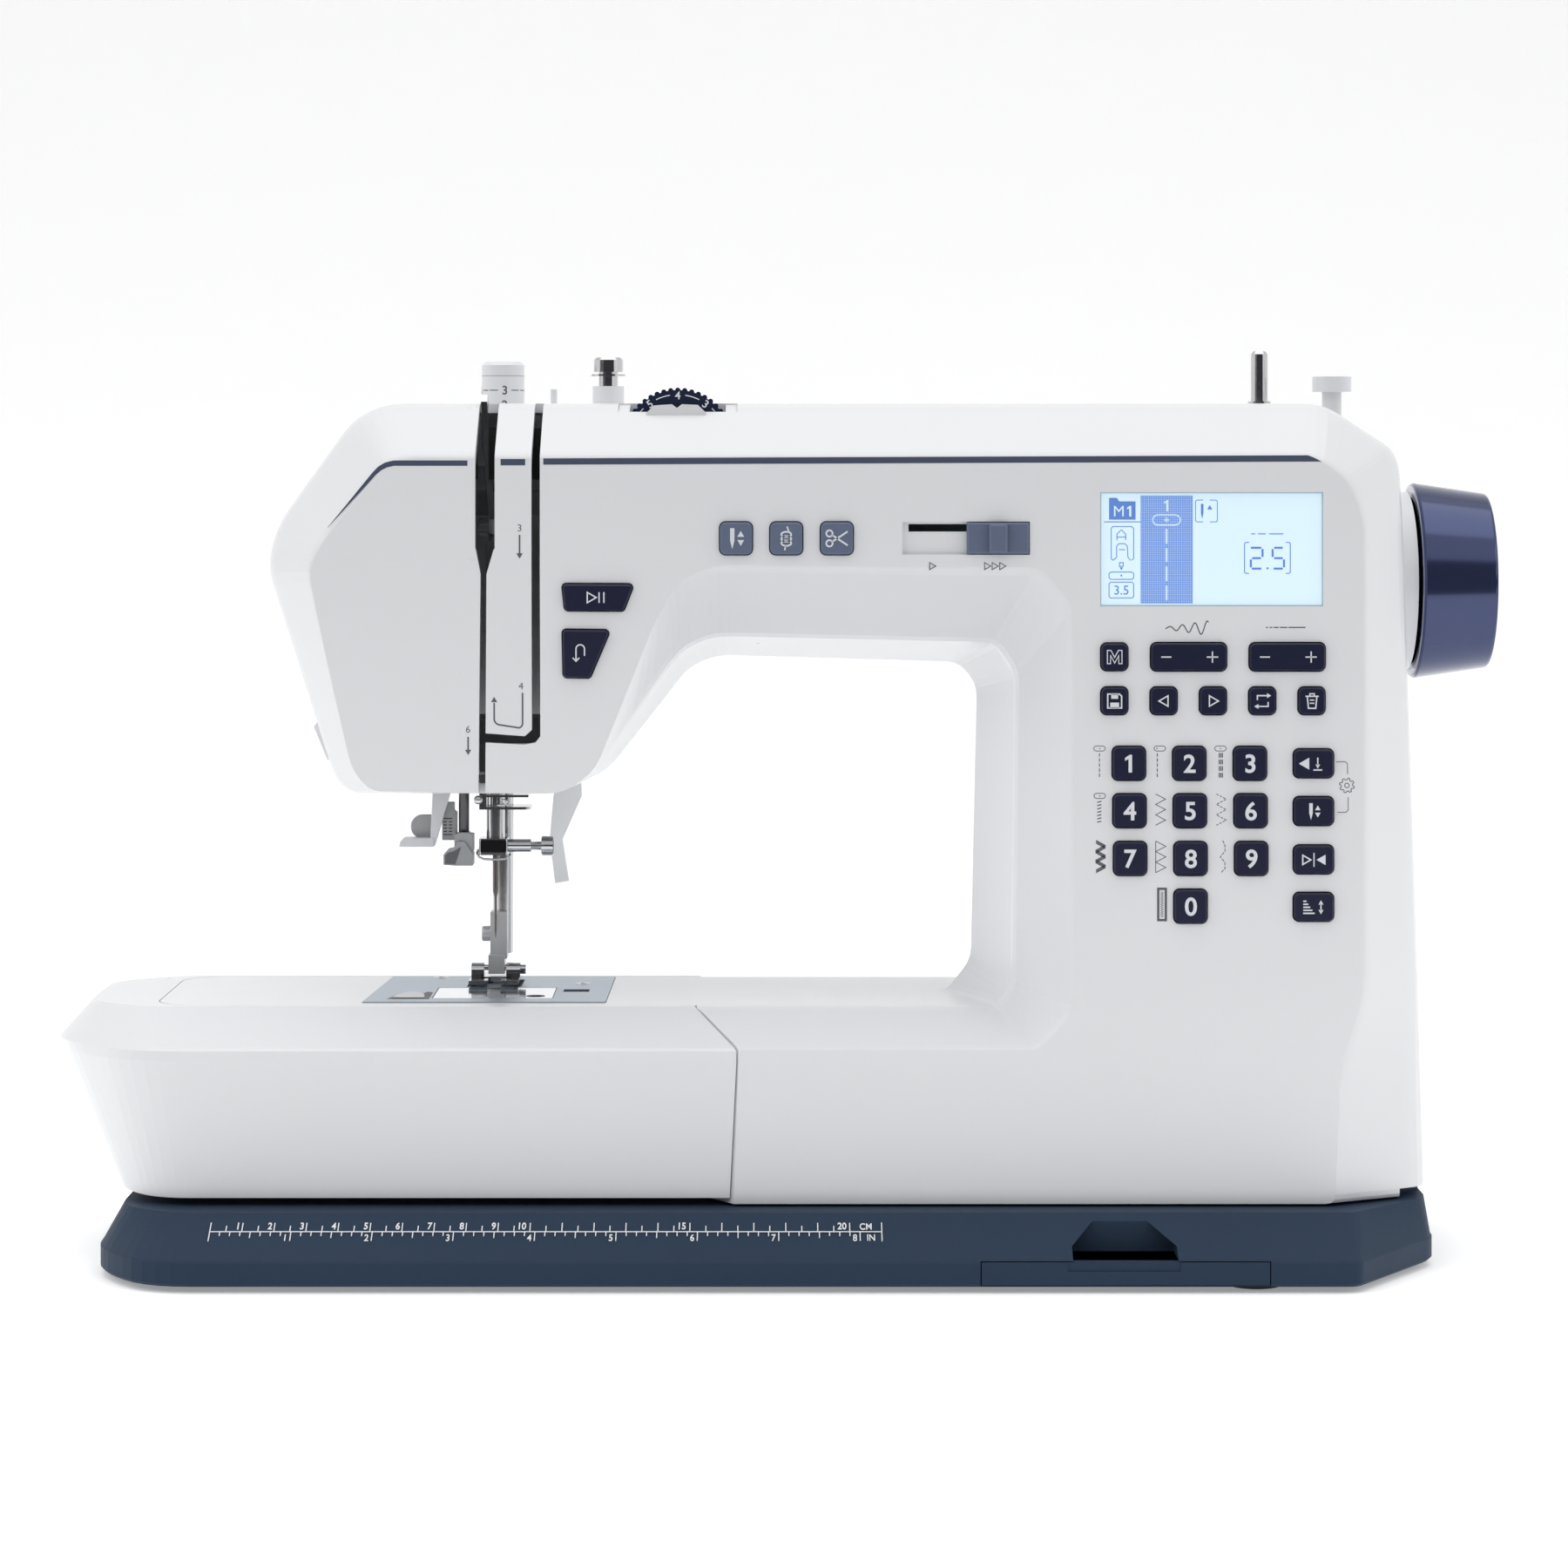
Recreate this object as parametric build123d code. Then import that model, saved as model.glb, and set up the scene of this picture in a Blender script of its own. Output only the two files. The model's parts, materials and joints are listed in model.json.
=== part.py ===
from build123d import *
import math
import os

# Free-arm electronic sewing machine, modelled standing on a table.
# Millimetres, +X to the handwheel, +Y to the back, +Z up.
# The origin is the middle of the overall footprint, on the table.

# ---- driving dimensions -------------------------------------------------------------
WALL = 3.0                  # moulded cover wall
FRONT_Y = -58.0             # front face of the covers
REAR_Y = 72.0               # rear face of the covers
PART_Y = 7.0                # plane where front and rear cover meet
CHAMFER = 22.0              # depth of the big bevels round the front and rear face
BODY_Z0 = 22.0              # underside of the covers
BED_Z = 82.5                # work surface
BED_EDGE_Z = 72.0           # work surface bevel meets the front face
TOP_Z = 276.5               # top of the arm
SEAM_X = -25.2              # end of the covers' bed, where the free arm comes out
SEAM_FRONT_X = -11.6        # the same seam on the front face: it slants across the bevel
HEAD_LEAN_Z = 226.0         # below this line the head leans back
HEAD_LEAN = 4.0             # how far the head's face leans back at its lower edge
HEAD_Z0 = 151.0             # underside of the head
SKIRT_Z = 68.0              # below this line the bed front leans back
SKIRT_LEAN = 2.5
TRAY_TIP_X = -233.5         # left end of the accessory tray
TRAY_Z0 = 24.1
BASE_HALF_Y = 88.0
FOOT_H = 2.0                # rubber feet stand proud of the base by this
RIM_Z = 10.0                # top of the base's upright rim
NEEDLE_X, NEEDLE_Y = -93.7, 23.0
PRESSER_X, PRESSER_Y = -92.0, 36.0
PLATE_Z = 82.8              # top of the needle plate
SHAFT_Z = 218.4             # height of the upper shaft and handwheel
WHEEL_X0, WHEEL_X1 = 210.5, 235.5
SHAFT_R = 5.0
FIT = 0.05                  # radial clearance of a running fit
GAP = 0.35                  # clearance round a moving moulding
KEY_PROUD = 1.5             # keys stand this far out of the face
KEY_FLANGE = 1.0            # hidden flange that keeps a key in its hole


# ---- helpers ------------------------------------------------------------------------
def box(x0, x1, y0, y1, z0, z1):
    """Box between two corners."""
    centre = Pos((x0 + x1) / 2, (y0 + y1) / 2, (z0 + z1) / 2)
    return centre * Box(x1 - x0, y1 - y0, z1 - z0)


def rod_x(r, x0, x1, y, z):
    return Pos((x0 + x1) / 2, y, z) * Rot(0, 90, 0) * Cylinder(r, x1 - x0)


def rod_y(r, y0, y1, x, z):
    return Pos(x, (y0 + y1) / 2, z) * Rot(90, 0, 0) * Cylinder(r, y1 - y0)


def rod_z(r, z0, z1, x, y):
    return Pos(x, y, (z0 + z1) / 2) * Cylinder(r, z1 - z0)


def cone_x(r0, r1, x0, x1, y, z):
    """Truncated cone along X, radius r0 at x0 and r1 at x1."""
    return Pos((x0 + x1) / 2, y, z) * Rot(0, 90, 0) * Cone(r0, r1, x1 - x0)


def cone_z(r0, r1, z0, z1, x, y):
    return Pos(x, y, (z0 + z1) / 2) * Cone(r0, r1, z1 - z0)


def outline_y(points, y):
    """Closed polygon of (x, z) points standing at one depth."""
    return make_face(Polyline([(x, y, z) for x, z in points], close=True))


def outline_z(points, z):
    """Closed polygon of (x, y) points lying at one height."""
    return make_face(Polyline([(x, y, z) for x, y in points], close=True))


def outline_x(points, x):
    """Closed polygon of (y, z) points at one X."""
    return make_face(Polyline([(x, y, z) for y, z in points], close=True))


def prism_y(points, y0, y1):
    return extrude(outline_y(points, y0), amount=y1 - y0, dir=(0, 1, 0))


def prism_z(points, z0, z1):
    return extrude(outline_z(points, z0), amount=z1 - z0, dir=(0, 0, 1))


def prism_x(points, x0, x1):
    return extrude(outline_x(points, x0), amount=x1 - x0, dir=(1, 0, 0))


def stack_y(*sections):
    """Ruled solid through (points, y) sections that have matching corners."""
    return loft([outline_y(points, y) for points, y in sections], ruled=True)


def stack_z(*sections):
    """Ruled solid through (points, z) sections that have matching corners."""
    return loft([outline_z(points, z) for points, z in sections], ruled=True)


def inset(points, distance):
    """Move every side of an anticlockwise polygon inwards by one distance."""
    moved = []
    count = len(points)
    for i in range(count):
        (ax, az), (bx, bz), (cx, cz) = points[i - 1], points[i], points[(i + 1) % count]
        ux, uz = bx - ax, bz - az
        vx, vz = cx - bx, cz - bz
        ul, vl = math.hypot(ux, uz), math.hypot(vx, vz)
        ux, uz, vx, vz = ux / ul, uz / ul, vx / vl, vz / vl
        nx, nz = -(uz + vz), ux + vx
        scale = distance / (nx * -uz + nz * ux)
        moved.append((bx + nx * scale, bz + nz * scale))
    return moved


def soften(points, cuts, steps=3):
    """Round a polygon's corners: each is replaced by a quadratic curve.

    cuts gives how far from the corner each curve starts, or 0 for a sharp corner.
    Every outline softened with the same cuts keeps the same number of points.
    """
    softened = []
    count = len(points)
    for i in range(count):
        (ax, ay), (bx, by), (cx, cy) = points[i - 1], points[i], points[(i + 1) % count]
        if cuts[i] == 0:
            softened.append((bx, by))
            continue
        before = math.hypot(ax - bx, ay - by)
        after = math.hypot(cx - bx, cy - by)
        reach = min(cuts[i], 0.45 * before, 0.45 * after)
        px, py = bx + (ax - bx) * reach / before, by + (ay - by) * reach / before
        qx, qy = bx + (cx - bx) * reach / after, by + (cy - by) * reach / after
        for step in range(steps + 1):
            t = step / steps
            k, m, n = (1 - t) ** 2, 2 * t * (1 - t), t ** 2
            softened.append((k * px + m * bx + n * qx, k * py + m * by + n * qy))
    return softened


def between(low, high, share):
    """Outline part of the way from one outline to another with matching corners."""
    return [(a + (c - a) * share, b + (d - b) * share) for (a, b), (c, d) in zip(low, high)]


def rounded_key(points, y0, y1, corner, bevel):
    """Prism of (x, z) points with rounded corners and a bevelled front face."""
    body = prism_y(points, y0, y1)
    body = fillet(body.edges().filter_by(Axis.Y), corner)
    return chamfer(body.faces().sort_by(Axis.Y)[0].edges(), bevel)


def rectangle(x, z, width, height):
    """Corner points of an upright rectangle centred on (x, z)."""
    w, h = width / 2, height / 2
    return [(x - w, z - h), (x + w, z - h), (x + w, z + h), (x - w, z + h)]


def mirrored_in_y(solid):
    """The same solid on the other side of the parting plane."""
    return mirror(solid, about=Plane(origin=(0, PART_Y, 0), z_dir=(0, 1, 0)))


# ---- casing outline -----------------------------------------------------------------
# The casing is a C seen from the front: bed, column, arm and head. Each row is one
# corner, anticlockwise from the bed's lower left: first on the front face, then where
# the big bevel ends, then halfway through the machine, and how far it is rounded.
CASING = [
    ((SEAM_X, 22.4), (SEAM_X, BODY_Z0), (SEAM_X, BODY_Z0), 0),
    ((173.5, 22.4), (209.4, BODY_Z0), (209.4, BODY_Z0), 3),
    ((179.5, 66.0), (207.9, 68.0), (207.9, 68.0), 14),
    ((187.0, 86.0), (207.4, 86.0), (207.4, 86.0), 20),
    ((187.0, 238.0), (202.2, 240.0), (202.2, 240.0), 12),
    ((184.5, 247.0), (201.2, 256.5), (201.2, 256.5), 6),
    ((181.5, 252.5), (198.8, 262.0), (198.8, 262.0), 6),
    ((172.5, 259.5), (176.5, TOP_Z), (176.5, TOP_Z), 6),
    ((-117.0, 259.5), (-125.5, TOP_Z), (-125.5, TOP_Z), 12),
    ((-124.6, 256.6), (-136.0, 271.5), (-136.0, 271.5), 8),
    ((-143.0, 234.0), (-160.4, 237.5), (-160.4, 237.5), 12),
    ((-148.4, 224.6), (-163.9, 224.0), (-163.9, 224.0), 12),
    ((-133.0, 161.0), (-141.8, 155.5), (-141.8, 155.5), 5),
    ((-127.0, 153.5), (-136.5, HEAD_Z0), (-136.5, HEAD_Z0), 4),
    ((-67.0, 152.5), (-71.0, HEAD_Z0), (-69.0, HEAD_Z0), 5),
    ((-57.0, 160.0), (-60.0, 155.0), (-56.0, 155.0), 5),
    ((-38.1, 208.0), (-41.5, 181.0), (-37.0, 179.0), 20),
    ((-31.0, 219.5), (-30.0, 196.5), (-28.5, 190.0), 10),
    ((-20.0, 224.0), (-20.0, 201.0), (-19.0, 193.8), 10),
    ((83.3, 223.0), (70.5, 199.0), (60.7, 191.5), 4),
    ((93.4, 211.1), (77.0, 189.0), (66.8, 184.0), 4),
    ((93.9, 84.0), (75.8, 88.5), (64.8, 93.0), 4),
    ((83.3, BED_EDGE_Z), (71.0, BED_Z), (56.5, BED_Z), 3),
    ((SEAM_X, BED_EDGE_Z), (SEAM_X, BED_Z), (SEAM_X, BED_Z), 0),
]
FACE_OUTLINE = [row[0] for row in CASING]
BEVEL_OUTLINE = [row[1] for row in CASING]
MIDDLE_OUTLINE = [row[2] for row in CASING]
CUTS = [row[3] for row in CASING]
INNER_CUTS = [max(cut - WALL, 0.5) if cut else 0 for cut in CUTS]
# How the outline runs from the face to the bevel's end: (depth, share of the way). The
# extra steps at both ends round the two edges of the bevel.
BEVEL_STEPS = [(0.0, -0.05), (0.25, -0.015), (0.7, 0.02), (1.5, 0.066), (18.0, 0.82),
               (20.5, 0.915), (23.5, 0.975), (27.0, 1.0)]


POST_X0, POST_Z = 200.3, 24.6   # the base's raised corner under the handwheel end


def seam_cut(shift):
    """Everything left of the slanting part of the seam, moved right by shift."""
    slope = (SEAM_FRONT_X - SEAM_X) / CHAMFER
    crease_y = FRONT_Y + CHAMFER
    corner = [(SEAM_X + shift - 2, crease_y + 2 / slope), (SEAM_X + shift - 2, FRONT_Y - 20),
              (SEAM_FRONT_X + shift + 20 * slope, FRONT_Y - 20)]
    return prism_z(corner, 0, BED_Z + 20)


def lean_cut(x0, x1, z_top, z_low, lean, depth):
    """Wedge that makes the front face lean back below z_top, shifted in by depth."""
    slope = lean / (z_top - z_low)
    drop = z_top - z_low + 40
    y = FRONT_Y + depth
    side = [(y - 30, z_top + 5), (y - 5 * slope, z_top + 5), (y, z_top),
            (y + slope * drop, z_top - drop), (y - 30, z_top - drop)]
    return prism_x(side, x0, x1)


def head_lean_cut(depth):
    wedge = lean_cut(-175, 60, HEAD_LEAN_Z, HEAD_Z0, HEAD_LEAN, depth)
    return wedge & box(-175, 60, -110, 40, HEAD_Z0 - 15, HEAD_LEAN_Z + 10)


def skirt_lean_cut(depth):
    wedge = lean_cut(-240, 215, SKIRT_Z, BODY_Z0, SKIRT_LEAN, depth)
    return wedge & box(-240, 215, -110, 40, 0, SKIRT_Z + 10)


def half_casing_solid(leaning=True):
    """Front half of the casing as one full solid, up to the parting plane."""
    face, bevel = soften(FACE_OUTLINE, CUTS), soften(BEVEL_OUTLINE, CUTS)
    sections = [(between(face, bevel, share), FRONT_Y + depth) for depth, share in BEVEL_STEPS]
    sections.append((soften(MIDDLE_OUTLINE, CUTS), PART_Y))
    solid = stack_y(*sections) - seam_cut(0)
    solid -= box(POST_X0 - GAP, 220, -100, 100, 0, POST_Z + GAP)
    if leaning:
        solid -= head_lean_cut(0)
        solid -= skirt_lean_cut(0)
    return solid


def half_casing_void(leaning=True):
    """Hollow inside the front half, one wall thickness in from every side."""
    rows = [(FACE_OUTLINE, FRONT_Y + WALL), (BEVEL_OUTLINE, FRONT_Y + CHAMFER + 1),
            (MIDDLE_OUTLINE, PART_Y)]
    sections = [(soften(inset(points, WALL), INNER_CUTS), y) for points, y in rows]
    void = stack_y(*sections) - seam_cut(WALL + 1.2)
    if leaning:
        void -= head_lean_cut(WALL)
        void -= skirt_lean_cut(WALL)
    return void - box(POST_X0 - WALL, 220, -100, 100, 0, POST_Z + WALL)


# ---- thread slots in the head -------------------------------------------------------
SLOT_X0, SLOT_X1 = -95.0, -88.8      # wide slot, where the take-up lever moves
SLOT_WIDE_Z = 230.0
RETURN_X0, RETURN_X1 = -77.2, -74.5  # slot where the thread comes down


def thread_slots():
    """Two slots that lead the thread down the head and join at the bottom."""
    cut = box(SLOT_X0, SLOT_X1, -90, -24, SLOT_WIDE_Z, 300)
    narrow = [(-94.4, 140.0), (-92.1, 140.0), (-91.4, 222.0), (SLOT_X1, SLOT_WIDE_Z + 1),
              (SLOT_X0, SLOT_WIDE_Z + 1), (-93.3, 222.0)]
    cut += prism_y(narrow, -90, -46)
    cut += box(RETURN_X0, RETURN_X1, -90, -30, 170.5, 300)
    join = [(-93.0, 168.6), (-79.5, 167.9), (-76.0, 168.6), (RETURN_X1, 170.6),
            (RETURN_X0, 172.6), (-79.4, 170.6), (-93.0, 171.6)]
    return cut + prism_y(join, -90, -46)


# ---- keys ---------------------------------------------------------------------------
ARM_KEY = 10.2
NUMBER_KEY = (10.4, 10.6)
SMALL_KEY = (8.4, 8.6)
WIDE_KEY = (12.6, 9.0)
ROCKER = (23.9, 8.8)
NUMBER_COLUMNS = (111.9, 131.0, 150.2)
NUMBER_ROWS = (162.2, 147.2, 132.1)
FUNCTION_Z = 182.0
FUNCTION_COLUMNS = (107.3, 122.9, 138.5, 154.1, 169.7)
SETTING_Z = 195.9
SIDE_X = 170.3
SIDE_ROWS = (162.2, 147.1, 131.8, 116.8)
ARM_KEY_Z = 233.4
ARM_KEY_COLUMNS = (-12.4, 3.5, 19.5)

KEYS = {
    "key_needle_up_down": rectangle(ARM_KEY_COLUMNS[0], ARM_KEY_Z, ARM_KEY, ARM_KEY),
    "key_tie_off": rectangle(ARM_KEY_COLUMNS[1], ARM_KEY_Z, ARM_KEY, ARM_KEY),
    "key_thread_snips": rectangle(ARM_KEY_COLUMNS[2], ARM_KEY_Z, ARM_KEY, ARM_KEY),
    "key_memory": rectangle(FUNCTION_COLUMNS[0], SETTING_Z, *SMALL_KEY),
    "key_0": rectangle(NUMBER_COLUMNS[1] + 0.4, 117.0, *NUMBER_KEY),
}
for name, column in zip(("save", "previous", "next", "restart", "delete"), FUNCTION_COLUMNS):
    KEYS["key_" + name] = rectangle(column, FUNCTION_Z, *SMALL_KEY)
for number in range(1, 10):
    row, column = divmod(number - 1, 3)
    KEYS[f"key_{number}"] = rectangle(NUMBER_COLUMNS[column] + 0.2 * row, NUMBER_ROWS[row],
                                      *NUMBER_KEY)
for name, row in zip(("stop_position", "needle_position", "mirror", "density"), SIDE_ROWS):
    KEYS["key_" + name] = rectangle(SIDE_X, row, *WIDE_KEY)

ROCKERS = {
    "rocker_stitch_width": rectangle(130.8, SETTING_Z, *ROCKER),
    "rocker_stitch_length": rectangle(162.0, SETTING_Z, *ROCKER),
}

ROCKER_PLAY = 1.0           # room behind the wall for a rocker's tilt

HEAD_KEYS = {
    "key_start_stop": [(-66.6, 210.5), (-48.0, 210.4), (-44.7, 218.9), (-67.5, 219.0)],
    "key_reverse": [(-67.1, 189.3), (-58.7, 189.1), (-52.2, 204.3), (-67.4, 204.5)],
}
# The head's keys sit square in its leaning face.
LEAN_ANGLE = math.degrees(math.atan(HEAD_LEAN / (HEAD_LEAN_Z - HEAD_Z0)))
LEAN_TURN = Pos(0, FRONT_Y, HEAD_LEAN_Z) * Rot(LEAN_ANGLE, 0, 0) * Pos(0, -FRONT_Y, -HEAD_LEAN_Z)


def key_solid(points, corner=1.8, play=0.3):
    """Key cap with a hidden flange that sits behind the cover wall, with some play."""
    back = FRONT_Y + WALL + play
    cap = rounded_key(points, FRONT_Y - KEY_PROUD, back + 0.7, corner, 0.5)
    flange = prism_y(inset(points, -KEY_FLANGE), back, back + 1.3)
    return cap + flange


def key_hole(points, corner=1.8):
    """Hole in the cover, one clearance larger than the key all round."""
    hole = prism_y(inset(points, -GAP), FRONT_Y - 5, FRONT_Y + WALL + 5)
    return fillet(hole.edges().filter_by(Axis.Y), corner + GAP)


# ---- display and speed control ------------------------------------------------------
DISPLAY = (102.9, 173.4, 211.9, 248.0)
SLIDER_RECESS = (40.2, 80.6, 228.2, 238.7)
SLIDER_TRAVEL = 19.6
SLIDER_DEPTH = 1.6


def display_window():
    x0, x1, z0, z1 = DISPLAY
    return box(x0, x1, FRONT_Y - 5, FRONT_Y + WALL + 2, z0, z1)


def display_panel():
    """Liquid-crystal panel behind its window, with a rim against the cover's inside."""
    x0, x1, z0, z1 = DISPLAY
    face = box(x0 + 0.2, x1 - 0.2, FRONT_Y + 0.9, FRONT_Y + WALL, z0 + 0.2, z1 - 0.2)
    rim = 1.8
    module = box(x0 - rim, x1 + rim, FRONT_Y + WALL, FRONT_Y + WALL + 5, z0 - rim, z1 + rim)
    return face + module


def slider_cut():
    x0, x1, z0, z1 = SLIDER_RECESS
    recess = box(x0, x1, FRONT_Y - 5, FRONT_Y + SLIDER_DEPTH, z0, z1)
    slot = box(x0 + 2, x1 - 2, FRONT_Y, FRONT_Y + WALL + 2, z1 - 3.2, z1 - 0.8)
    return recess + slot


def speed_slider():
    """Slider knob with a grip rib, held by a foot that runs in the slot."""
    x0, x1, z0, z1 = SLIDER_RECESS
    left = x1 - SLIDER_TRAVEL - 0.4
    knob = box(left, x1 - 0.3, FRONT_Y - 1.0, FRONT_Y + SLIDER_DEPTH - 0.3, z0 + 0.3, z1 - 0.3)
    knob = chamfer(knob.faces().sort_by(Axis.Y)[0].edges(), 0.6)
    rib = box(67.6, 73.4, FRONT_Y - 3.2, FRONT_Y - 0.5, z0 + 0.6, z1 - 0.6)
    rib = chamfer(rib.faces().sort_by(Axis.Y)[0].edges(), 0.7)
    stem = box(67, 74, FRONT_Y + 0.5, FRONT_Y + WALL + 1.5, z1 - 2.9, z1 - 1.1)
    foot = box(65, 76, FRONT_Y + WALL + 0.3, FRONT_Y + WALL + 1.8, z1 - 5.5, z1 + 0.5)
    return knob + rib + stem + foot


# ---- handwheel collar, top openings, head opening -----------------------------------
COLLAR_R = 29.4
COLLAR_BORE_R = 22.0
DIAL_X, DIAL_Z, DIAL_R = -31.3, 263.4, 18.1
DIAL_Y0, DIAL_Y1 = -39.0, -31.0
KNOB_R = 7.25
WINDER_X, WINDER_Y = 163.0, 30.0
WINDER_SHIFT = 8.0
STOP_X, STOP_Y = 187.4, 30.0
HANDLE_X0, HANDLE_X1 = 0.0, 122.0
HANDLE_Y0, HANDLE_Y1 = 22.0, 46.0
SWITCH_Y, SWITCH_Z = 34.0, 92.0
INLET_Y, INLET_Z = 34.0, 58.0


def collar_solid():
    """White collar between the column and the handwheel."""
    return rod_x(COLLAR_R, 196.0, WHEEL_X0 - 1.5, PART_Y, SHAFT_Z)


def collar_bore():
    return rod_x(COLLAR_BORE_R, 190.0, 240.0, PART_Y, SHAFT_Z)


def half_space(front):
    """Everything in front of the parting plane, or everything behind it."""
    y0, y1 = (-200, PART_Y) if front else (PART_Y, 200)
    return box(-300, 300, y0, y1, -10, 400)


def arm_opening():
    """Opening in the seam wall that the frame and lower shaft pass through."""
    return box(SEAM_X - 1, SEAM_X + WALL + 1, ARM_Y0 + 5, ARM_Y1 - 4.5, 41, BED_Z - 5)


PRE_TENSION_X, PRE_TENSION_Y, PRE_TENSION_Z = -55.8, 20.0, 283.0


def dial_lip():
    """Raised lip in front of the tension dial, with a V notch as its pointer."""
    lip = [(-41.4, 270.0), (-22.2, 270.0), (-22.2, 273.4), (-24.8, 275.9), (-29.9, 276.1),
           (-31.5, 274.9), (-33.1, 276.1), (-38.9, 275.7), (-41.4, 273.2)]
    return prism_y(lip, DIAL_Y0 - 2.2, DIAL_Y0 - 0.6)


def side_cutter():
    """Hooded thread cutter on the head's left side."""
    hood = [(-151.9, 170.6), (-150.2, 172.8), (-145.0, 174.0), (-141.0, 160.0), (-147.4, 159.6)]
    return prism_y(hood, -3, 4)


def front_cover():
    """Front half of the casing: every key, window and slot is cut in it."""
    cover = half_casing_solid() + (collar_solid() & half_space(front=True))
    cover += dial_lip()
    cover += side_cutter()
    cover += rod_z(1.1, TOP_Z - 2, 281.5, -72.6, -8.0)
    cover -= half_casing_void()
    dial_slot = box(DIAL_X - DIAL_R - 1, DIAL_X + DIAL_R + 1, DIAL_Y0 - 0.6, DIAL_Y1 + 0.6,
                    DIAL_Z - DIAL_R - 2, 300)
    cuts = [collar_bore(), thread_slots(), dial_slot, display_window(), slider_cut(),
            arm_opening()]
    cuts += [key_hole(points) for points in [*KEYS.values(), *ROCKERS.values()]]
    cuts += [LEAN_TURN * key_hole(points, 1.2) for points in HEAD_KEYS.values()]
    return cover - cuts


def rear_cover():
    """Rear half of the casing, with the handle recess, head opening and power sockets."""
    cover = mirrored_in_y(half_casing_solid(leaning=False))
    cover += collar_solid() & half_space(front=False)
    cover += rod_z(5.3, TOP_Z - 2, PRE_TENSION_Z, PRE_TENSION_X, PRE_TENSION_Y)
    cover -= mirrored_in_y(half_casing_void(leaning=False))
    cover += box(HANDLE_X0 - 3, HANDLE_X1 + 3, HANDLE_Y0 - 3, HANDLE_Y1 + 3, TOP_Z - 11, TOP_Z)
    cover -= box(HANDLE_X0, HANDLE_X1, HANDLE_Y0, HANDLE_Y1, TOP_Z - 8, TOP_Z + 10)
    cover -= collar_bore()
    cover -= arm_opening()
    cover -= box(-124, -72, PART_Y + 1.5, 58, HEAD_Z0 - 20, HEAD_Z0 + 12)
    cover -= box(LIFTER_X0 - 1.5, LIFTER_X1 + 1.5, 50, 90, HEAD_Z0 - 20, LIFTER_Z + 8)
    cover -= rod_z(KNOB_R + GAP, TOP_Z - 10, TOP_Z + 10, PRESSER_X, PRESSER_Y)
    cover -= box(WINDER_X - 4, WINDER_X + 4 + WINDER_SHIFT, WINDER_Y - 4, WINDER_Y + 4,
                 TOP_Z - 10, TOP_Z + 10)
    cover -= box(190, 215, SWITCH_Y - 6.5, SWITCH_Y + 6.5, SWITCH_Z - 11.6, SWITCH_Z + 11.6)
    socket = box(190, 207, INLET_Y - 15, INLET_Y + 15, INLET_Z - 11, INLET_Z + 11)
    cover += socket
    cover -= box(193, 215, INLET_Y - 12, INLET_Y + 12, INLET_Z - 8, INLET_Z + 8)
    return cover


# ---- base, feet and drawer ----------------------------------------------------------
BASE_TOP_Z = 21.5
DRAWER_X0, DRAWER_X1 = 63.9, 153.2
DRAWER_Z0 = 2.6
FOOT_PLACES = [(-180, -62), (150, -72), (-180, 66), (180, 66)]


def base():
    """Wide base tray: upright rim, sloping shoulder and a flat seat for the covers."""
    rim = [(-196, -88), (181, -88), (211, -41), (211, 54), (181, 88), (-196, 88),
           (-214.8, 60), (-214.8, -60)]
    shoulder = [(-191, -67), (182, -66), (209, -37), (209, 50), (180, 80), (-191, 76),
                (-208, 54), (-208, -52)]
    cuts = [14, 3, 6, 6, 10, 14, 14, 14]
    heights = [(inset(rim, 1.0), FOOT_H), (rim, FOOT_H + 1.0), (rim, RIM_Z - 0.6),
               (inset(rim, 0.5), RIM_Z), (shoulder, BASE_TOP_Z)]
    solid = stack_z(*[(soften(points, cuts, 5), z) for points, z in heights])
    post = [(POST_X0, -31), (208.8, -21), (208.8, 44), (POST_X0, 44)]
    solid += prism_z(post, BASE_TOP_Z - 2, POST_Z)
    solid -= box(DRAWER_X0 - GAP, DRAWER_X1 + GAP, -95, 20, DRAWER_Z0 - 0.3, RIM_Z)
    scoop_front = [(92.3, 9.0), (125.0, 9.0), (125.0, 13.5), (116.5, 19.5), (99.5, 19.5),
                   (92.3, 13.5)]
    solid -= prism_y(scoop_front, -95, -70)
    pocket = box(-185, 40, -66, 74, -1, BASE_TOP_Z - WALL)
    pocket -= box(-75, -69, -66, 74, -1, BASE_TOP_Z)
    pocket -= box(-200, -165, -80, -52, -1, BASE_TOP_Z)
    pocket -= box(-200, -165, 52, 80, -1, BASE_TOP_Z)
    return solid - pocket


def rubber_feet():
    feet = [rod_z(9.0, 0, FOOT_H, x, y) for x, y in FOOT_PLACES]
    feet = [chamfer(foot.faces().sort_by(Axis.Z)[0].edges(), 0.6) for foot in feet]
    return Compound(children=feet)


def reference_drawer():
    """Shallow pull-out tray for the stitch card, with two finger tabs at its lip."""
    y1 = 15
    drawer = box(DRAWER_X0, DRAWER_X1, -BASE_HALF_Y, y1, DRAWER_Z0, RIM_Z - 0.3)
    drawer -= box(DRAWER_X0 + 2.5, DRAWER_X1 - 2.5, -BASE_HALF_Y + 4, y1 - 2.5, DRAWER_Z0 + 1.6,
                  RIM_Z + 5)
    drawer -= box(90.6, 125.6, -BASE_HALF_Y - 1, -BASE_HALF_Y + 0.4, 6.9, RIM_Z)
    return drawer


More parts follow.
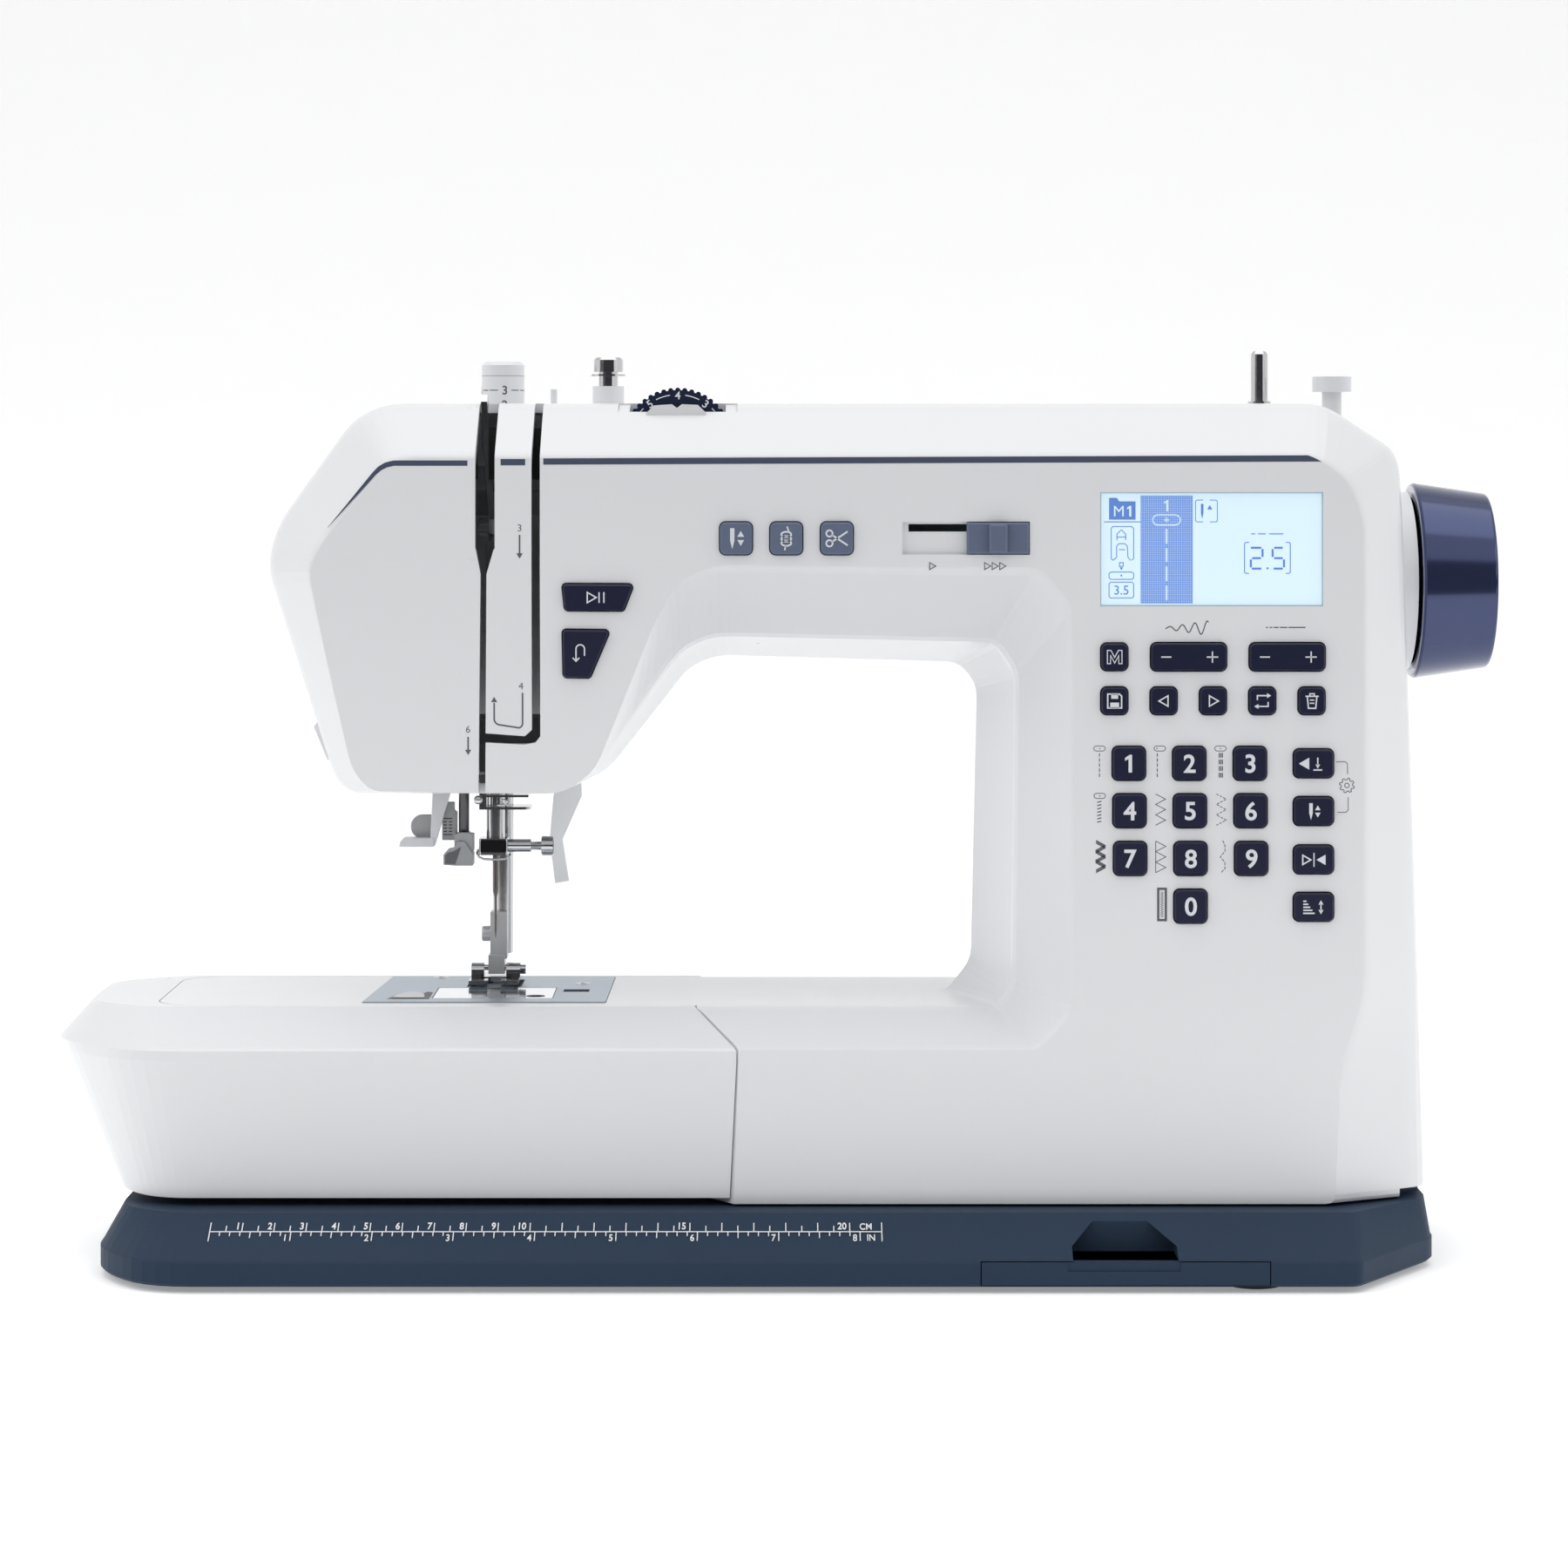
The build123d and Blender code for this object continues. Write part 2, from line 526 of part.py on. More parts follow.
# ---- free arm, tray and needle plate ------------------------------------------------
ARM_X0 = -200.0
ARM_Y0, ARM_Y1 = -33.0, 47.0
ARM_Z0 = 38.0
ARM_WALL = 2.5
PLATE = [(-133.8, -26.0), (-55.0, -26.0), (-54.4, 45.0), (-129.9, 45.0)]
PLATE_THICK = 1.8
WINDOW = (-112.0, -72.5, -16.0, 12.7)
HOOK_Y = -1.0
HOOK_R = 22.8


def free_arm_cover():
    """Slim sleeve round the free arm, open to the covers and under the needle plate."""
    arm = box(ARM_X0, SEAM_X, ARM_Y0, ARM_Y1, ARM_Z0, BED_Z)
    corners = arm.edges().filter_by(Axis.Z).sort_by(Axis.X)[:2]
    arm = fillet(corners, 14)
    inner = box(ARM_X0 + ARM_WALL, SEAM_X + 1, ARM_Y0 + ARM_WALL, ARM_Y1 - ARM_WALL,
                ARM_Z0 + ARM_WALL, BED_Z - ARM_WALL)
    inner = fillet(inner.edges().filter_by(Axis.Z).sort_by(Axis.X)[:2], 12)
    arm -= inner
    return arm - prism_z(inset(PLATE, -0.15), BED_Z - 5, BED_Z + 5)


TRAY_LEFT_CUT = 16.0        # how far the tray's left corners are rounded


def accessory_tray():
    """Storage tray that wraps the free arm; its two long compartments open to the right."""
    low = [(0, -54.5), (0, 68.5), (-197, 68.5), (-211, 48), (-211, -34), (-197, -54.5)]
    wide = [(0, -58), (0, 72), (-206, 72), (-231.5, 42), (-231.5, -28), (-206, -58)]
    lip = [(0, -58), (0, 72), (-205, 72), (TRAY_TIP_X, 40), (TRAY_TIP_X, -26), (-205, -58)]
    shoulder = [(0, -57), (0, 71), (-204.6, 71), (-232.6, 39.5), (-232.6, -25.5), (-204.6, -57)]
    top = [(0, -36), (0, 50), (-203, 50), (-223, 34), (-223, -20), (-203, -36)]
    cuts = [0, 0] + [TRAY_LEFT_CUT] * 4
    heights = [(low, TRAY_Z0), (wide, SKIRT_Z), (lip, BED_EDGE_Z - 1.0), (shoulder, BED_EDGE_Z),
               (top, BED_Z)]
    tray = stack_z(*[(soften(points[::-1], cuts[::-1], 6), z) for points, z in heights])
    tunnel = box(ARM_X0 - GAP, 5, ARM_Y0 - GAP, ARM_Y1 + GAP, ARM_Z0 - 3, BED_Z + 5)
    tunnel = fillet(tunnel.edges().filter_by(Axis.Z).sort_by(Axis.X)[:2], 14)
    slope = (SEAM_FRONT_X - SEAM_X) / CHAMFER
    front_y, rear_y = FRONT_Y - 20, REAR_Y + 20
    end_x = SEAM_FRONT_X - 2 * GAP + 20 * slope
    seam = [(SEAM_X - 2 * GAP, FRONT_Y + CHAMFER), (end_x, front_y), (30, front_y), (30, rear_y),
            (end_x, rear_y), (SEAM_X - 2 * GAP, REAR_Y - CHAMFER)]
    tray -= [tunnel, prism_z(seam, 0, BED_Z + 10),
             box(-192, 5, -51, ARM_Y0 + 1, 41, 67),
             box(-192, 5, ARM_Y1 - 1, 65, 41, 67),
             box(-216, ARM_X0 - 6, -20, 36, 30, 67)]
    return tray


def needle_plate():
    """Steel stitch plate with needle hole, feed slots and the bobbin window."""
    plate = prism_z(PLATE, PLATE_Z - PLATE_THICK, PLATE_Z)
    x0, x1, y0, y1 = WINDOW
    plate -= box(x0, x1, y0, y1, PLATE_Z - 1.0, PLATE_Z + 1)
    plate -= box(x0 + 2.5, x1 - 2.5, y0 + 2.5, y1 - 2.5, PLATE_Z - 5, PLATE_Z + 1)
    plate -= box(NEEDLE_X - 4.8, NEEDLE_X + 4.8, NEEDLE_Y - 1.2, NEEDLE_Y + 1.2,
                 PLATE_Z - 5, PLATE_Z + 1)
    for x, y_low, y_high in FEED_ROWS:
        plate -= box(x - 1.5, x + 1.5, y_low - FEED_SHIFT - 0.6, y_high + FEED_SHIFT + 0.6,
                     PLATE_Z - 5, PLATE_Z + 1)
    plate -= box(-70.0, -61.5, 1.0, 8.0, PLATE_Z - 5, PLATE_Z + 1)
    return plate


FEED_SHIFT = 1.8
FEED_ROWS = [(NEEDLE_X - 7.6, 17.5, 33.0), (NEEDLE_X + 7.6, 17.5, 33.0),
             (NEEDLE_X - 2.6, 27.5, 34.0), (NEEDLE_X + 2.6, 27.5, 34.0)]


def feed_dogs():
    """Toothed bars on one carrier; the teeth rise into the plate's slots."""
    carrier = box(NEEDLE_X - 10, NEEDLE_X + 10, 25.6, 36.0, 76.5, 79.5)
    carrier += box(NEEDLE_X - 10, NEEDLE_X - 5.6, 17.5, 26.0, 76.5, 79.5)
    carrier += box(NEEDLE_X + 5.6, NEEDLE_X + 10, 17.5, 26.0, 76.5, 79.5)
    pitch = 1.6
    for x, y_low, y_high in FEED_ROWS:
        bar = box(x - 1.1, x + 1.1, y_low, y_high, 79.0, PLATE_Z - 1.6)
        count = int((y_high - y_low) / pitch)
        for i in range(count):
            y = y_low + i * pitch
            tooth = [(y, PLATE_Z - 1.7), (y + pitch, PLATE_Z - 1.7), (y + pitch * 0.8, PLATE_Z - 0.6)]
            bar += prism_x(tooth, x - 1.1, x + 1.1)
        carrier += bar
    return carrier


def bobbin_cover():
    """Clear cover over the bobbin, in the plate's recess."""
    x0, x1, y0, y1 = WINDOW
    cover = box(x0 + 0.3, x1 - 0.3, y0 + 0.3, y1 - 0.3, PLATE_Z - 0.95, PLATE_Z - 0.05)
    return cover - rod_z(3.2, PLATE_Z - 5, PLATE_Z + 5, x1 - 6, y0 + 6)


def rotary_hook():
    """Drop-in hook cup on its vertical stub, with the bobbin lying in it."""
    floor_z, top_z = 65.0, 76.0
    cup = rod_z(HOOK_R, floor_z - 1.6, top_z, NEEDLE_X, HOOK_Y)
    cup -= rod_z(HOOK_R - 2.4, floor_z, top_z + 9, NEEDLE_X, HOOK_Y)
    cup += rod_z(HOOK_GEAR_R, 49.0, 57.0, NEEDLE_X, HOOK_Y)
    cup += rod_z(4.0, 41.5, floor_z, NEEDLE_X, HOOK_Y)
    cup += rod_z(2.8, floor_z, top_z - 0.5, NEEDLE_X, HOOK_Y)
    bobbin = rod_z(10.3, floor_z + 0.2, top_z - 0.2, NEEDLE_X, HOOK_Y)
    bobbin -= rod_z(3.0, 60.0, 90.0, NEEDLE_X, HOOK_Y)
    winding = rod_z(12.0, floor_z + 1.2, top_z - 1.2, NEEDLE_X, HOOK_Y)
    winding -= rod_z(8.6, 60.0, 90.0, NEEDLE_X, HOOK_Y)
    return Compound(children=[cup, bobbin - winding])


# ---- machine frame and shafts -------------------------------------------------------
LOWER_Y, LOWER_Z, LOWER_R = 20.3, 53.0, 4.0
LOWER_GEAR_R = 8.0
HOOK_GEAR_R = LOWER_Y - HOOK_Y - LOWER_GEAR_R - 0.4
BAR_R = 3.15
PRESSER_R = 3.5
THREADER_X, THREADER_R = -104.0, 1.85


def machine_frame():
    """Cast frame that carries the shafts and bars: bed, column, arm and head."""
    frame = box(-185, 186, 32, 42, 42, 62)
    frame += box(120, 150, 27, 42, 42, 250)
    frame += box(-60, 150, 28, 42, 226, 252)
    frame += box(-66, -60, 14, 46, 164, 252)
    for z in (164.0, 240.0):
        frame += box(-112, -60, 14, 46, z, z + 8)
    for x in (-50.0, 140.0):
        frame += box(x, x + 10, -2, 34, 208, 240)
    for x in (-132.0, -72.0, 60.0, 170.0):
        frame += box(x, x + 8, 13, 40, 47, 59)
    frame += box(NEEDLE_X - 9, NEEDLE_X + 9, HOOK_Y - 9, 36, 40.9, 44.5)
    frame -= rod_x(SHAFT_R + FIT, -60, 160, PART_Y, SHAFT_Z)
    frame -= rod_x(LOWER_R + FIT, -140, 185, LOWER_Y, LOWER_Z)
    frame -= rod_z(4.0 + FIT, 40, 50, NEEDLE_X, HOOK_Y)
    frame -= rod_z(BAR_R + FIT, 150, 260, NEEDLE_X, NEEDLE_Y)
    frame -= rod_z(PRESSER_R + FIT, 150, 260, PRESSER_X, PRESSER_Y)
    frame -= rod_z(THREADER_R + FIT, 150, 230, THREADER_X, NEEDLE_Y)
    return frame


def upper_shaft():
    """Main shaft with the crank that drives the needle bar."""
    shaft = rod_x(SHAFT_R, -77, WHEEL_X1 - 9, PART_Y, SHAFT_Z)
    crank = rod_x(13.0, -77, -70, PART_Y, SHAFT_Z)
    pulley = rod_x(16.0, 168, 178, PART_Y, SHAFT_Z) - rod_x(20, 171, 175, PART_Y, SHAFT_Z)
    pulley += rod_x(13.5, 168, 178, PART_Y, SHAFT_Z)
    return shaft + crank + pulley


def lower_shaft():
    shaft = rod_x(LOWER_R, -136, 186, LOWER_Y, LOWER_Z)
    shaft += rod_x(LOWER_GEAR_R, NEEDLE_X - 5, NEEDLE_X + 5, LOWER_Y, LOWER_Z)
    return shaft + rod_x(9.0, 155, 165, LOWER_Y, LOWER_Z)


def handwheel():
    """Smooth handwheel: a slight cone with a rounded outer edge and a dished inside."""
    x0, x1 = WHEEL_X0, WHEEL_X1
    dome_r = 850.0
    wheel = cone_x(32.4, 28.7, x0, x1, PART_Y, SHAFT_Z)
    wheel = fillet(wheel.faces().sort_by(Axis.X)[-1].edges(), 1.6)
    wheel = chamfer(wheel.faces().sort_by(Axis.X)[0].edges(), 0.8)
    wheel &= Pos(x1 - dome_r, PART_Y, SHAFT_Z) * Sphere(dome_r)
    wheel -= rod_x(27.5, x0 - 1, x0 + 11.5, PART_Y, SHAFT_Z)
    wheel += rod_x(10.0, x0, x0 + 12.0, PART_Y, SHAFT_Z)
    return wheel - rod_x(SHAFT_R + 0.02, x0 - 5, x1 - 9, PART_Y, SHAFT_Z)


# ---- needle bar, needle, presser and threader ---------------------------------------
CLAMP_Z0, CLAMP_Z1 = 126.4, 131.9
NEEDLE_TIP_Z = 98.0


def needle_bar():
    return rod_z(BAR_R, CLAMP_Z1, 255.0, NEEDLE_X, NEEDLE_Y)


def needle_clamp():
    """Clamp block under the needle bar with its knurled side screw."""
    block = box(NEEDLE_X - 5.3, NEEDLE_X + 4.3, NEEDLE_Y - 5, NEEDLE_Y + 5, CLAMP_Z0, CLAMP_Z1)
    block = fillet(block.edges().filter_by(Axis.Z), 1.0)
    block -= rod_z(1.02, CLAMP_Z0 - 1, CLAMP_Z1 - 0.8, NEEDLE_X, NEEDLE_Y)
    z = (CLAMP_Z0 + CLAMP_Z1) / 2
    screw = rod_x(2.2, NEEDLE_X + 4.3, -81.8, NEEDLE_Y, z)
    screw += rod_x(1.35, -81.8, -78.2, NEEDLE_Y, z)
    screw += rod_x(3.2, -78.2, -74.4, NEEDLE_Y, z)
    return Compound(children=[block, screw])


def needle():
    shank = rod_z(1.0, 114.0, CLAMP_Z1 - 1.0, NEEDLE_X, NEEDLE_Y)
    shank += cone_z(0.45, 1.0, 112.0, 114.0, NEEDLE_X, NEEDLE_Y)
    shank += rod_z(0.45, NEEDLE_TIP_Z + 3, 112.0, NEEDLE_X, NEEDLE_Y)
    return shank + cone_z(0.08, 0.45, NEEDLE_TIP_Z, NEEDLE_TIP_Z + 3, NEEDLE_X, NEEDLE_Y)


FOOT_PIVOT_Y, FOOT_PIVOT_Z = 29.5, 87.6
SOLE_Z = PLATE_Z + 0.5


def presser_bar():
    return rod_z(PRESSER_R, 92.0, 254.0, PRESSER_X, PRESSER_Y)


def presser_ankle():
    """Foot holder clamped on the presser bar; its hook carries the foot's pin."""
    holder = box(-95.9, -90.3, 29.2, 38.0, 90.5, 106.2)
    holder -= rod_z(PRESSER_R + 0.02, 92.0, 120, PRESSER_X, PRESSER_Y)
    hook = box(-96.4, -91.0, 26.6, 34.5, 85.7, 92.0)
    hook -= rod_x(1.0 + FIT, -100, -85, FOOT_PIVOT_Y, FOOT_PIVOT_Z)
    screw = rod_x(2.6, -98.9, -95.9, 31.8, 98.8)
    return Compound(children=[holder + hook, fillet(screw.edges().sort_by(Axis.X)[:1], 0.7)])


def presser_foot():
    """Zigzag foot: sole with needle slot, two round cheeks and the cross pin."""
    x0, x1 = NEEDLE_X - 8.4, NEEDLE_X + 8.0
    sole = box(x0, x1, 13.8, 41.0, SOLE_Z, SOLE_Z + 1.6)
    toes = sole.edges().filter_by(Axis.X).sort_by(Axis.Y)[0]
    sole = chamfer(toes, 0.8)
    sole -= box(NEEDLE_X - 5.2, NEEDLE_X + 5.2, 20.5, 25.5, SOLE_Z - 1, SOLE_Z + 5)
    sole -= box(NEEDLE_X - 2.2, NEEDLE_X + 2.2, 10.0, 21.0, SOLE_Z - 1, SOLE_Z + 5)
    for low, high in ((x0, -97.8), (-90.4, x1)):
        sole += rod_x(2.9, low, high, FOOT_PIVOT_Y, 86.4)
        sole += box(low, high, FOOT_PIVOT_Y - 2.9, FOOT_PIVOT_Y + 2.9, SOLE_Z, 86.4)
    sole += rod_x(1.6, x1, x1 + 1.8, FOOT_PIVOT_Y, FOOT_PIVOT_Z - 0.6)
    return sole + rod_x(1.0, -98.0, -90.2, FOOT_PIVOT_Y, FOOT_PIVOT_Z)


LIFTER_X0, LIFTER_X1 = -79.0, -66.5
LIFTER_Y, LIFTER_Z = 60.0, 160.0


def presser_lifter():
    """Lever behind the head that lifts the presser bar."""
    arm = [(-73.0, LIFTER_Z + 2.5), (-73.6, 152.0), (-76.1, 143.2), (-77.4, 128.8),
           (-75.6, 113.2), (-70.8, 114.0), (-73.0, 128.2), (-66.4, 143.2),
           (-66.8, LIFTER_Z + 2.5)]
    lever = prism_y(arm, LIFTER_Y - 2.2, LIFTER_Y + 2.2)
    return lever + rod_x(3.2, -79.0, -66.8, LIFTER_Y, LIFTER_Z)


def needle_threader():
    """Sliding threader: guide rod, grey clip, and the white lever with its thumb pad."""
    rod = rod_z(THREADER_R, 133.5, 200.0, THREADER_X, NEEDLE_Y)
    clip = box(-110.7, -100.9, NEEDLE_Y - 4, NEEDLE_Y + 4, 122.9, 133.5)
    lever = box(-114.8, -110.7, NEEDLE_Y - 3, NEEDLE_Y + 5, 129.3, 158.0)
    pad = box(-125.0, -114.8, NEEDLE_Y - 3, NEEDLE_Y + 5, 129.3, 132.4)
    return rod + clip + lever + pad


TAKEUP_PIVOT = (5.0, 236.0)


def take_up_lever():
    """Lever that pulls the thread up; its eye shows at the top of the left slot."""
    y, z = TAKEUP_PIVOT
    arm = [(y - 3.2, z + 2.6), (-36.8, 277.0), (-34.6, 279.2), (-30.4, 279.0), (-28.4, 275.6),
           (y + 2.6, z + 3.2), (y + 4.0, z - 2.0), (y, z - 4.6), (y - 4.4, z - 2.0)]
    lever = prism_x(arm, -94.6, -92.6)
    lever -= rod_x(1.3, -100, -90, -32.6, 275.8)
    return lever + rod_x(3.0, -98.0, -89.0, y, z)


# ---- top fittings -------------------------------------------------------------------
def tension_dial():
    """Knurled thread-tension wheel standing in its slot in the top."""
    disc = rod_y(DIAL_R - 0.8, DIAL_Y0, DIAL_Y1, DIAL_X, DIAL_Z)
    teeth = 48
    for i in range(teeth):
        angle = 2 * math.pi * i / teeth
        x = DIAL_X + (DIAL_R - 0.8) * math.cos(angle)
        z = DIAL_Z + (DIAL_R - 0.8) * math.sin(angle)
        disc += rod_y(0.8, DIAL_Y0 + 1.0, DIAL_Y1 - 1.0, x, z)
    return disc + rod_y(3.0, DIAL_Y0 - 1.5, DIAL_Y1 + 8, DIAL_X, DIAL_Z)


def pressure_knob():
    """White presser-pressure knob over the presser bar."""
    knob = rod_z(KNOB_R, 262.0, 291.6, PRESSER_X, PRESSER_Y)
    knob = chamfer(knob.faces().sort_by(Axis.Z)[-1].edges(), 1.2)
    return knob


def thread_guides():
    """Fixed guides: the pre-tension disc on its post, and two plates at the needle bar."""
    x, y, z = PRE_TENSION_X, PRE_TENSION_Y, PRE_TENSION_Z
    guide = rod_z(3.2, z, z + 5.4, x, y) + rod_z(5.8, z + 3.4, z + 4.0, x, y)
    cap = rod_z(4.9, z + 4.8, z + 9.6, x, y)
    guide += chamfer(cap.faces().sort_by(Axis.Z)[-1].edges(), 0.8)
    y0 = NEEDLE_Y - 9
    plate = box(-98.2, -82.2, y0, NEEDLE_Y + 6, 146.0, 146.8)
    lower = box(-98.6, -81.4, y0, NEEDLE_Y + 5, 141.9, 142.8)
    plate += fillet(lower.edges().filter_by(Axis.Z), 3.0)
    plate += box(-98.6, -96.2, y0, y0 + 3, 141.9, 164.0)
    plate -= rod_z(BAR_R + 0.4, 130, 170, NEEDLE_X, NEEDLE_Y)
    return Compound(children=[guide, plate])


def bobbin_winder():
    """Winder spindle standing on a round carriage under the top."""
    spindle = rod_z(2.85, TOP_Z - 8, 294.0, WINDER_X, WINDER_Y)
    spindle += cone_z(2.85, 2.0, 294.0, 295.0, WINDER_X, WINDER_Y)
    spindle += rod_z(3.9, TOP_Z - 8, TOP_Z + 1.6, WINDER_X, WINDER_Y)
    return spindle + rod_z(6.0, TOP_Z - 10, TOP_Z - 5, WINDER_X, WINDER_Y)


def bobbin_stop():
    stop = rod_z(3.3, 273.2, 281.5, STOP_X, STOP_Y) + rod_z(6.6, 281.3, 286.4, STOP_X, STOP_Y)
    return stop


def carry_handle():
    """Fold-away carrying handle, lying flat in its recess."""
    x0, x1, y0, y1 = HANDLE_X0 + 1, HANDLE_X1 - 1, HANDLE_Y0 + 1, HANDLE_Y1 - 1
    z1 = TOP_Z - 0.5
    z0 = z1 - 6.0
    bar = box(x0, x1, y0, y1, z0, z1)
    bar = fillet(bar.edges().filter_by(Axis.X).sort_by(Axis.Y)[-2:], (z1 - z0) / 2 - 0.02)
    return bar - box(x0 + 9, x1 - 9, y0 + 10, y1 + 1, z0 - 1, z1 + 1)


def power_switch():
    """Rocker switch in the column's side wall."""
    tilt = [(SWITCH_Z - 9.4, 204.8), (SWITCH_Z, 207.3), (SWITCH_Z + 9.4, 209.4),
            (SWITCH_Z + 9.4, 199), (SWITCH_Z - 9.4, 199)]
    points = [(x, z) for z, x in tilt]
    return prism_y(points[::-1], SWITCH_Y - 6, SWITCH_Y + 6)


def main():
    os.makedirs("parts", exist_ok=True)
    nodes = {
        "base": base(),
        "rubber_feet": rubber_feet(),
        "reference_drawer": reference_drawer(),
        "front_cover": front_cover(),
        "rear_cover": rear_cover(),
        "free_arm_cover": free_arm_cover(),
        "machine_frame": machine_frame(),
        "accessory_tray": accessory_tray(),
        "needle_plate": needle_plate(),
        "bobbin_cover": bobbin_cover(),
        "feed_dogs": feed_dogs(),
        "rotary_hook": rotary_hook(),
        "lower_shaft": lower_shaft(),
        "upper_shaft": upper_shaft(),
        "handwheel": handwheel(),
        "needle_bar": needle_bar(),
        "needle_clamp": needle_clamp(),
        "needle": needle(),
        "presser_bar": presser_bar(),
        "presser_ankle": presser_ankle(),
        "presser_foot": presser_foot(),
        "presser_lifter": presser_lifter(),
        "needle_threader": needle_threader(),
        "take_up_lever": take_up_lever(),
        "tension_dial": tension_dial(),
        "pressure_knob": pressure_knob(),
        "thread_guides": thread_guides(),
        "bobbin_winder": bobbin_winder(),
        "bobbin_stop": bobbin_stop(),
        "display_panel": display_panel(),
        "speed_slider": speed_slider(),
        "carry_handle": carry_handle(),
        "power_switch": power_switch(),
    }
    for name, points in KEYS.items():
        nodes[name] = key_solid(points)
    for name, points in ROCKERS.items():
        nodes[name] = key_solid(points, play=ROCKER_PLAY)
    for name, points in HEAD_KEYS.items():
        nodes[name] = LEAN_TURN * key_solid(points, 1.2)
    for name, shape in nodes.items():
        export_step(shape, f"parts/{name}.step")


main()
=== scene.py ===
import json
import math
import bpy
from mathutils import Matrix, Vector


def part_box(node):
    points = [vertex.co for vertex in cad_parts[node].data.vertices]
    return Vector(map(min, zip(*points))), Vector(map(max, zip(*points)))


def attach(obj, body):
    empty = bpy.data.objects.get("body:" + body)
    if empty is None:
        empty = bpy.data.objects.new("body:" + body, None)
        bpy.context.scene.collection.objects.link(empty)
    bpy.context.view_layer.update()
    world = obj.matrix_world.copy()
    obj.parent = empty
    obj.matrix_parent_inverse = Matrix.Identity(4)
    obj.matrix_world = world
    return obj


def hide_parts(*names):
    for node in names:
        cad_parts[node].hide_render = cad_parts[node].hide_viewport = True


bl_info = {
    "name": "Sewing machine finishes",
    "version": (1, 0, 0),
    "blender": (4, 5, 0),
    "location": "View3D > Sidebar > Sewing machine",
    "description": "Finishes, printed marks and fine fittings of a free-arm sewing machine",
    "category": "Object",
}

import bmesh
import bpy
import numpy as np
from bpy.props import FloatProperty, FloatVectorProperty, PointerProperty

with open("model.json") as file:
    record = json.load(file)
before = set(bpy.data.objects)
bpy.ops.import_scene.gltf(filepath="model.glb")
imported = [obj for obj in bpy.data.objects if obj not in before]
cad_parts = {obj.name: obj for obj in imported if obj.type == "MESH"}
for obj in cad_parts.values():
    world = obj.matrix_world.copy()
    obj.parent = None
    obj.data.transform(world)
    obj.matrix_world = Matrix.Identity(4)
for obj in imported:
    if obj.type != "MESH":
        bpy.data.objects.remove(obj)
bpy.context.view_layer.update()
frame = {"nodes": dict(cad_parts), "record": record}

MM = 0.001
INK_DEPTH = 0.03        # millimetres that a printed mark goes into its surface
INK_PROUD = 0.045       # millimetres that a printed mark stands out of it
HEAD_LEAN_Z = 226.0     # below this height the head's face leans back
HEAD_LEAN = math.atan(4.0 / 75.0)
FACE_Y = -58.0          # front face of the covers


# ---- sizes and colours a user may change ---------------------------------------------
def colour(name, description, default):
    return FloatVectorProperty(name=name, description=description, default=default,
                               subtype="COLOR", size=3, min=0.0, max=1.0)


class SewingColours(bpy.types.PropertyGroup):
    moulding: colour("Moulding", "White of the covers and the tray", (0.80, 0.81, 0.83))
    base: colour("Base", "Slate blue of the base", (0.025, 0.044, 0.077))
    key: colour("Keys", "Dark navy of the keys", (0.009, 0.011, 0.036))
    clip: colour("Arm keys", "Grey blue of the arm keys and slider", (0.125, 0.155, 0.235))
    wheel: colour("Handwheel", "Glossy navy of the handwheel", (0.050, 0.065, 0.148))
    ink: colour("Print", "Grey of the printed marks", (0.10, 0.11, 0.13))
    pale_ink: colour("Key marks", "Pale grey of the marks on keys", (0.72, 0.74, 0.78))
    screen: colour("Screen", "Lit colour of the display", (0.72, 0.90, 1.0))
    screen_ink: colour("Screen marks", "Blue of what the display shows", (0.16, 0.32, 0.80))


class SewingSizes(bpy.types.PropertyGroup):
    ink_line: FloatProperty(name="Key line", description="Width of a line drawn on a key",
                            default=0.45 * MM, unit="LENGTH")
    print_line: FloatProperty(name="Print line", description="Width of a thin printed line",
                              default=0.32 * MM, unit="LENGTH")
    stripe: FloatProperty(name="Stripe", description="Width of the stripe along the top edge",
                          default=2.0 * MM, unit="LENGTH")
    floor: FloatProperty(name="Floor", description="Half width of the studio floor",
                         default=4.0, unit="LENGTH")


def colours():
    return bpy.context.scene.sewing_colours


def sizes():
    return bpy.context.scene.sewing_sizes


def box_mm(node):
    """Low corner, middle and high corner of a CAD node in millimetres."""
    low, high = (np.array(corner[:]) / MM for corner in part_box(node))
    return low, (low + high) / 2, high


# ---- surfaces ------------------------------------------------------------------------
def link_piece(name, vertices, faces, body, look, smooth=False, slot=None):
    """Mesh object from places in millimetres, in the named finish, riding on a body."""
    mesh = bpy.data.meshes.new(name)
    mesh.from_pydata((np.asarray(vertices, float) * MM).tolist(), [], faces)
    shell = bmesh.new()
    shell.from_mesh(mesh)
    bmesh.ops.recalc_face_normals(shell, faces=shell.faces)
    shell.to_mesh(mesh)
    shell.free()
    mesh.polygons.foreach_set("use_smooth", [smooth] * len(mesh.polygons))
    mesh.update()
    piece = bpy.data.objects.new(name, mesh)
    bpy.context.scene.collection.objects.link(piece)
    mesh.materials.append(FINISHES[look])
    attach(piece, body)
    return piece


def flat_map(origin, right=(1, 0, 0), up=(0, 0, 1)):
    """Places a drawing on a plane: origin + u along right + v along up + h outwards."""
    base, a, b = (np.asarray(x, float) for x in (origin, right, up))
    out = np.cross(a, b)
    return lambda q: base + q[:, :1] * a + q[:, 1:2] * b + q[:, 2:3] * out


def joined(*parts):
    """Several (vertices, faces) pairs as one."""
    points, faces, count = [], [], 0
    for vertices, part_faces in parts:
        points.append(vertices)
        faces += [tuple(i + count for i in face) for face in part_faces]
        count += len(vertices)
    return np.vstack(points), faces


